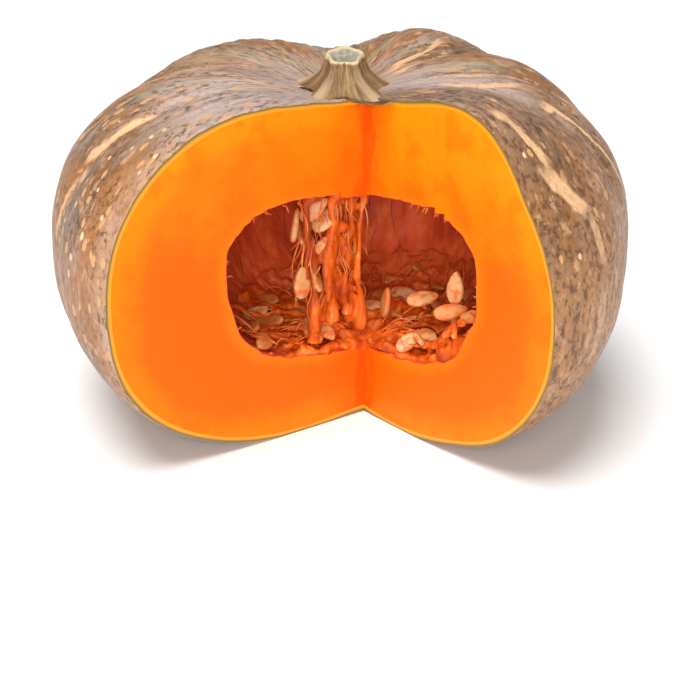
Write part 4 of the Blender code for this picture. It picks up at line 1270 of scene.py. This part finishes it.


# Stringy pulp: wet, bright orange strands with red-brown between them; painted shade on the upper left of the hanging
# pulp and painted light on the far bank
def pulpMaterial():
    material, tree, shader = newMaterial("stringyPulp")
    spot = add(tree, "TexCoord", out="Object")
    drawn = add(tree, "Mapping", {"Vector": spot, "Scale": (1, 1, 0.35)})
    strand = add(tree, "TexNoise", {"Vector": drawn, "Scale": 260.0, "Detail": 4.0, "Roughness": 0.6, "Distortion": 0.4})
    area = add(tree, "TexNoise", {"Vector": spot, "Scale": 90.0, "Detail": 2.0})
    mixed = add(tree, "Math", {0: area, 1: 0.5, 2: add(tree, "Math", {0: strand, 1: 0.5}, operation="MULTIPLY")},
                operation="MULTIPLY_ADD")
    colour = add(tree, "ValToRGB", {0: mixed}, stops=(
        (0.34, "#9C3816"), (0.43, "#C65014"), (0.53, "#E06416"), (0.66, "#F49044")))
    parts = add(tree, "SeparateXYZ", {0: spot}, out="X")
    # painted light in a redder tone: the far bank is lightened where the cavity's roof shades it
    farBankPaintedLight = add(tree, "MapRange", {0: parts.node.outputs["Y"], 1: -0.008, 2: 0.014, 4: 0.65}, **smooth)
    colour = add(tree, "Mix", {0: farBankPaintedLight, 6: colour, 7: "#DA6438"}, **blend)
    # painted shade: darker red-brown over the upper left of the hanging pulp
    leftward = add(tree, "MapRange", {0: parts, 1: -0.002, 2: -0.010, 4: 0.80}, **smooth)
    hanging = add(tree, "MapRange", {0: parts.node.outputs["Z"], 1: 0.050, 2: 0.064}, **smooth)
    pulpPaintedShade = add(tree, "Math", {0: leftward, 1: hanging}, operation="MULTIPLY")
    colour = add(tree, "Mix", {0: pulpPaintedShade, 6: colour, 7: "#9C3A18"}, **blend)
    tree.links.new(colour, shader.inputs["Base Color"])
    shader.inputs["Roughness"].default_value = 0.30
    shader.inputs["Specular IOR Level"].default_value = 0.30
    shader.inputs["IOR"].default_value = 1.38
    shader.inputs["Subsurface Weight"].default_value = 0.25
    shader.inputs["Subsurface Radius"].default_value = (1.0, 0.35, 0.1)
    shader.inputs["Subsurface Scale"].default_value = 0.002
    bump = add(tree, "Bump", {"Height": strand, "Strength": 0.4, "Distance": 0.0006})
    tree.links.new(bump, shader.inputs["Normal"])
    return material


# Seed hulls: matt and pale tan, tinted orange by the pulp that clings to them
def seedMaterial():
    material, tree, shader = newMaterial("seedHull")
    spot = add(tree, "TexCoord", out="Object")
    shade = add(tree, "Attribute", attribute_name="shade", out="Fac")
    colour = add(tree, "ValToRGB", {0: shade}, stops=((0.0, "#C07C42"), (0.5, "#D0965A"), (1.0, "#DEAA74")))
    cling = add(tree, "TexNoise", {"Vector": spot, "Scale": 300.0, "Detail": 3.0})
    cling = add(tree, "MapRange", {0: cling, 1: 0.43, 2: 0.60, 4: 0.90}, **smooth)
    colour = add(tree, "Mix", {0: cling, 6: colour, 7: "#D4682A"}, **blend)
    tree.links.new(colour, shader.inputs["Base Color"])
    shader.inputs["Roughness"].default_value = 0.42
    shader.inputs["IOR"].default_value = 1.45
    shader.inputs["Subsurface Weight"].default_value = 0.1
    shader.inputs["Subsurface Radius"].default_value = (1.0, 0.6, 0.3)
    shader.inputs["Subsurface Scale"].default_value = 0.001
    return material


# Pulp fibres: pale orange, half clear and wet
def fibreMaterial(name, dark, middle, light):
    material, tree, shader = newMaterial(name)
    spot = add(tree, "TexCoord", out="Object")
    area = add(tree, "TexNoise", {"Vector": spot, "Scale": 120.0, "Detail": 2.0})
    colour = add(tree, "ValToRGB", {0: area}, stops=((0.35, dark), (0.50, middle), (0.65, light)))
    tree.links.new(colour, shader.inputs["Base Color"])
    shader.inputs["Roughness"].default_value = 0.30
    shader.inputs["IOR"].default_value = 1.38
    shader.inputs["Subsurface Weight"].default_value = 0.2
    shader.inputs["Subsurface Scale"].default_value = 0.001
    return material


# Corky stem: dry and ridged, cream on its ridges and rim, brown between, grey-green on the cut top
def stemMaterial():
    material, tree, shader = newMaterial("corkStem")
    grain = add(tree, "Attribute", attribute_name="grain", out="Vector")
    ridge, height, cutTop = (add(tree, "Attribute", attribute_name=name, out="Fac")
                             for name in ("ridge", "height", "cutTop"))
    cork = add(tree, "TexNoise", {"Vector": grain, "Scale": 620.0, "Detail": 5.0, "Roughness": 0.65})
    colour = add(tree, "ValToRGB", {0: cork}, stops=(
        (0.32, "#5C4028"), (0.46, "#7E603E"), (0.58, "#987850"), (0.72, "#B4946A")))
    broad = add(tree, "TexNoise", {"Vector": grain, "Scale": 160.0, "Detail": 2.0})
    rusty = add(tree, "MapRange", {0: broad, 1: 0.52, 2: 0.64, 4: 0.7}, **smooth)
    colour = add(tree, "Mix", {0: rusty, 6: colour, 7: "#7A5032"}, **blend)
    crest = add(tree, "MapRange", {0: ridge, 1: 0.6, 2: 1.0, 4: 0.8}, **smooth)
    lower = add(tree, "MapRange", {0: height, 1: 10.0, 2: 1.0, 3: 0.15, 4: 0.8}, **smooth)
    crest = add(tree, "Math", {0: crest, 1: lower}, operation="MULTIPLY")
    colour = add(tree, "Mix", {0: crest, 6: colour, 7: "#D8B890"}, **blend)
    frayed = add(tree, "Math", {0: cork, 1: 2.6, 2: height}, operation="MULTIPLY_ADD")
    rim = add(tree, "MapRange", {0: frayed, 1: 14.5, 2: 15.5, 4: 0.75}, **smooth)
    colour = add(tree, "Mix", {0: rim, 6: colour, 7: "#DECBA4"}, **blend)
    pith = add(tree, "TexNoise", {"Vector": add(tree, "TexCoord", out="Object"), "Scale": 480.0, "Detail": 3.0})
    pith = add(tree, "ValToRGB", {0: pith}, stops=((0.35, "#877F70"), (0.55, "#9C9484"), (0.75, "#AEA494")))
    top = add(tree, "MapRange", {0: cutTop, 1: 0.25, 2: 0.75}, **smooth)
    colour = add(tree, "Mix", {0: top, 6: colour, 7: pith}, **blend)
    tree.links.new(colour, shader.inputs["Base Color"])
    shader.inputs["Roughness"].default_value = 0.82
    shader.inputs["IOR"].default_value = 1.45
    bump = add(tree, "Bump", {"Height": cork, "Strength": 0.5, "Distance": 0.0008})
    tree.links.new(bump, shader.inputs["Normal"])
    return material


for piece, material in ((rindPiece, rindMaterial()), (fleshPiece, fleshMaterial()), (stemPiece, stemMaterial())):
    piece.data.materials.append(material)
wetPulp = pulpMaterial()
for piece in (curtainPiece, bedPiece):
    piece.data.materials.append(wetPulp)
seedPiece = makeSeeds(seedMaterial())
paleFibre = fibreMaterial("pulpFibre", "#C84E18", "#E0702A", "#F09850")
liningFibre = fibreMaterial("liningFibre", "#B04020", "#C4522A", "#DC7040")
curtainFibre = makeFibres("curtainFibres", list(curtainFibres()), paleFibre)
wallFibre = makeFibres("wallFibres", list(wallFibres()), liningFibre)
rimFibre = makeFibres("rimFibres", list(rimFibres()), paleFibre)
bedFibre = makeFibres("bedFibres", list(bedFibres()), paleFibre)
print("seeds and fibres", len(seedPiece.data.polygons), len(wallFibre.data.polygons), len(bedFibre.data.polygons))


# Camera, light and floor

view = {
    "distance": 0.8731,
    "elevation": 22.96,
    "lens": 106.2,
    "sensor": 36.0,
    "aimAside": -0.0030,
    "aimDown": -0.0436,
}


def addCamera():
    tilt = math.radians(view["elevation"])
    centre = Vector(fruitCentre)
    place = centre + Vector((0, -math.cos(tilt), math.sin(tilt))) * view["distance"]
    target = centre + Vector((view["aimAside"], 0, 0)) + Vector((0, math.sin(tilt), math.cos(tilt))) * view["aimDown"]
    data = bpy.data.cameras.new("camera")
    data.lens = view["lens"]
    data.sensor_width = view["sensor"]
    data.clip_start, data.clip_end = 0.01, 30
    camera = bpy.data.objects.new("camera", data)
    camera.location = place
    camera.rotation_euler = (target - place).to_track_quat("-Z", "Y").to_euler()
    bpy.context.scene.collection.objects.link(camera)
    bpy.context.scene.camera = camera


lights = {
    "world": 0.27,
    "sunStrength": 2.90,
    "sunSoftness": 34.0,  # how wide the soft light is, in degrees
    "sunPlace": (-0.17, -0.24, 1.0),
    "fillPlace": (-0.05, -1.65, 0.62),
    "fillWidth": 0.9,
    "fillPower": 18.0,
}


def addLights():
    scene = bpy.context.scene
    world = bpy.data.worlds.new("studio")
    world.use_nodes = True
    background = world.node_tree.nodes["Background"]
    background.inputs["Color"].default_value = (1, 1, 1, 1)
    background.inputs["Strength"].default_value = lights["world"]
    scene.world = world
    scene.view_settings.view_transform = "Standard"
    sun = bpy.data.lights.new("key", "SUN")
    sun.energy = lights["sunStrength"]
    sun.angle = math.radians(lights["sunSoftness"])
    fill = bpy.data.lights.new("fill", "AREA")
    fill.size = lights["fillWidth"]
    fill.energy = lights["fillPower"]
    for data, place, target in ((sun, lights["sunPlace"], (0, 0, 0)), (fill, lights["fillPlace"], (0, 0, 0.08))):
        lamp = bpy.data.objects.new(data.name, data)
        lamp.location = place
        lamp.rotation_euler = (Vector(target) - Vector(place)).to_track_quat("-Z", "Y").to_euler()
        scene.collection.objects.link(lamp)


def addFloor():
    size = 14.0
    corners = [(-size, -size, 0), (size, -size, 0), (size, size, 0), (-size, size, 0)]
    obj = meshObject("paleFloor", corners, [(0, 1, 2, 3)])
    material, tree, shader = newMaterial("paleFloor")
    shader.inputs["Base Color"].default_value = toLinear("#FAFAFA")
    shader.inputs["Roughness"].default_value = 0.6
    obj.data.materials.append(material)


addCamera()
addLights()
addFloor()

for piece, node, slot in (
    (rindPiece, "rind", "rind"),
    (fleshPiece, "flesh", "flesh"),
    (stemPiece, "stem", "stem"),
    (curtainPiece, "pulp_curtain", "pulp"),
    (bedPiece, "pulp_bed", "pulp"),
    (seedPiece, None, "pulp"),
    (curtainFibre, None, "pulp"),
    (wallFibre, None, "pulp"),
    (rimFibre, None, "pulp"),
    (bedFibre, None, "pulp"),
):
    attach(piece, "root")
    if node:
        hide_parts(node)
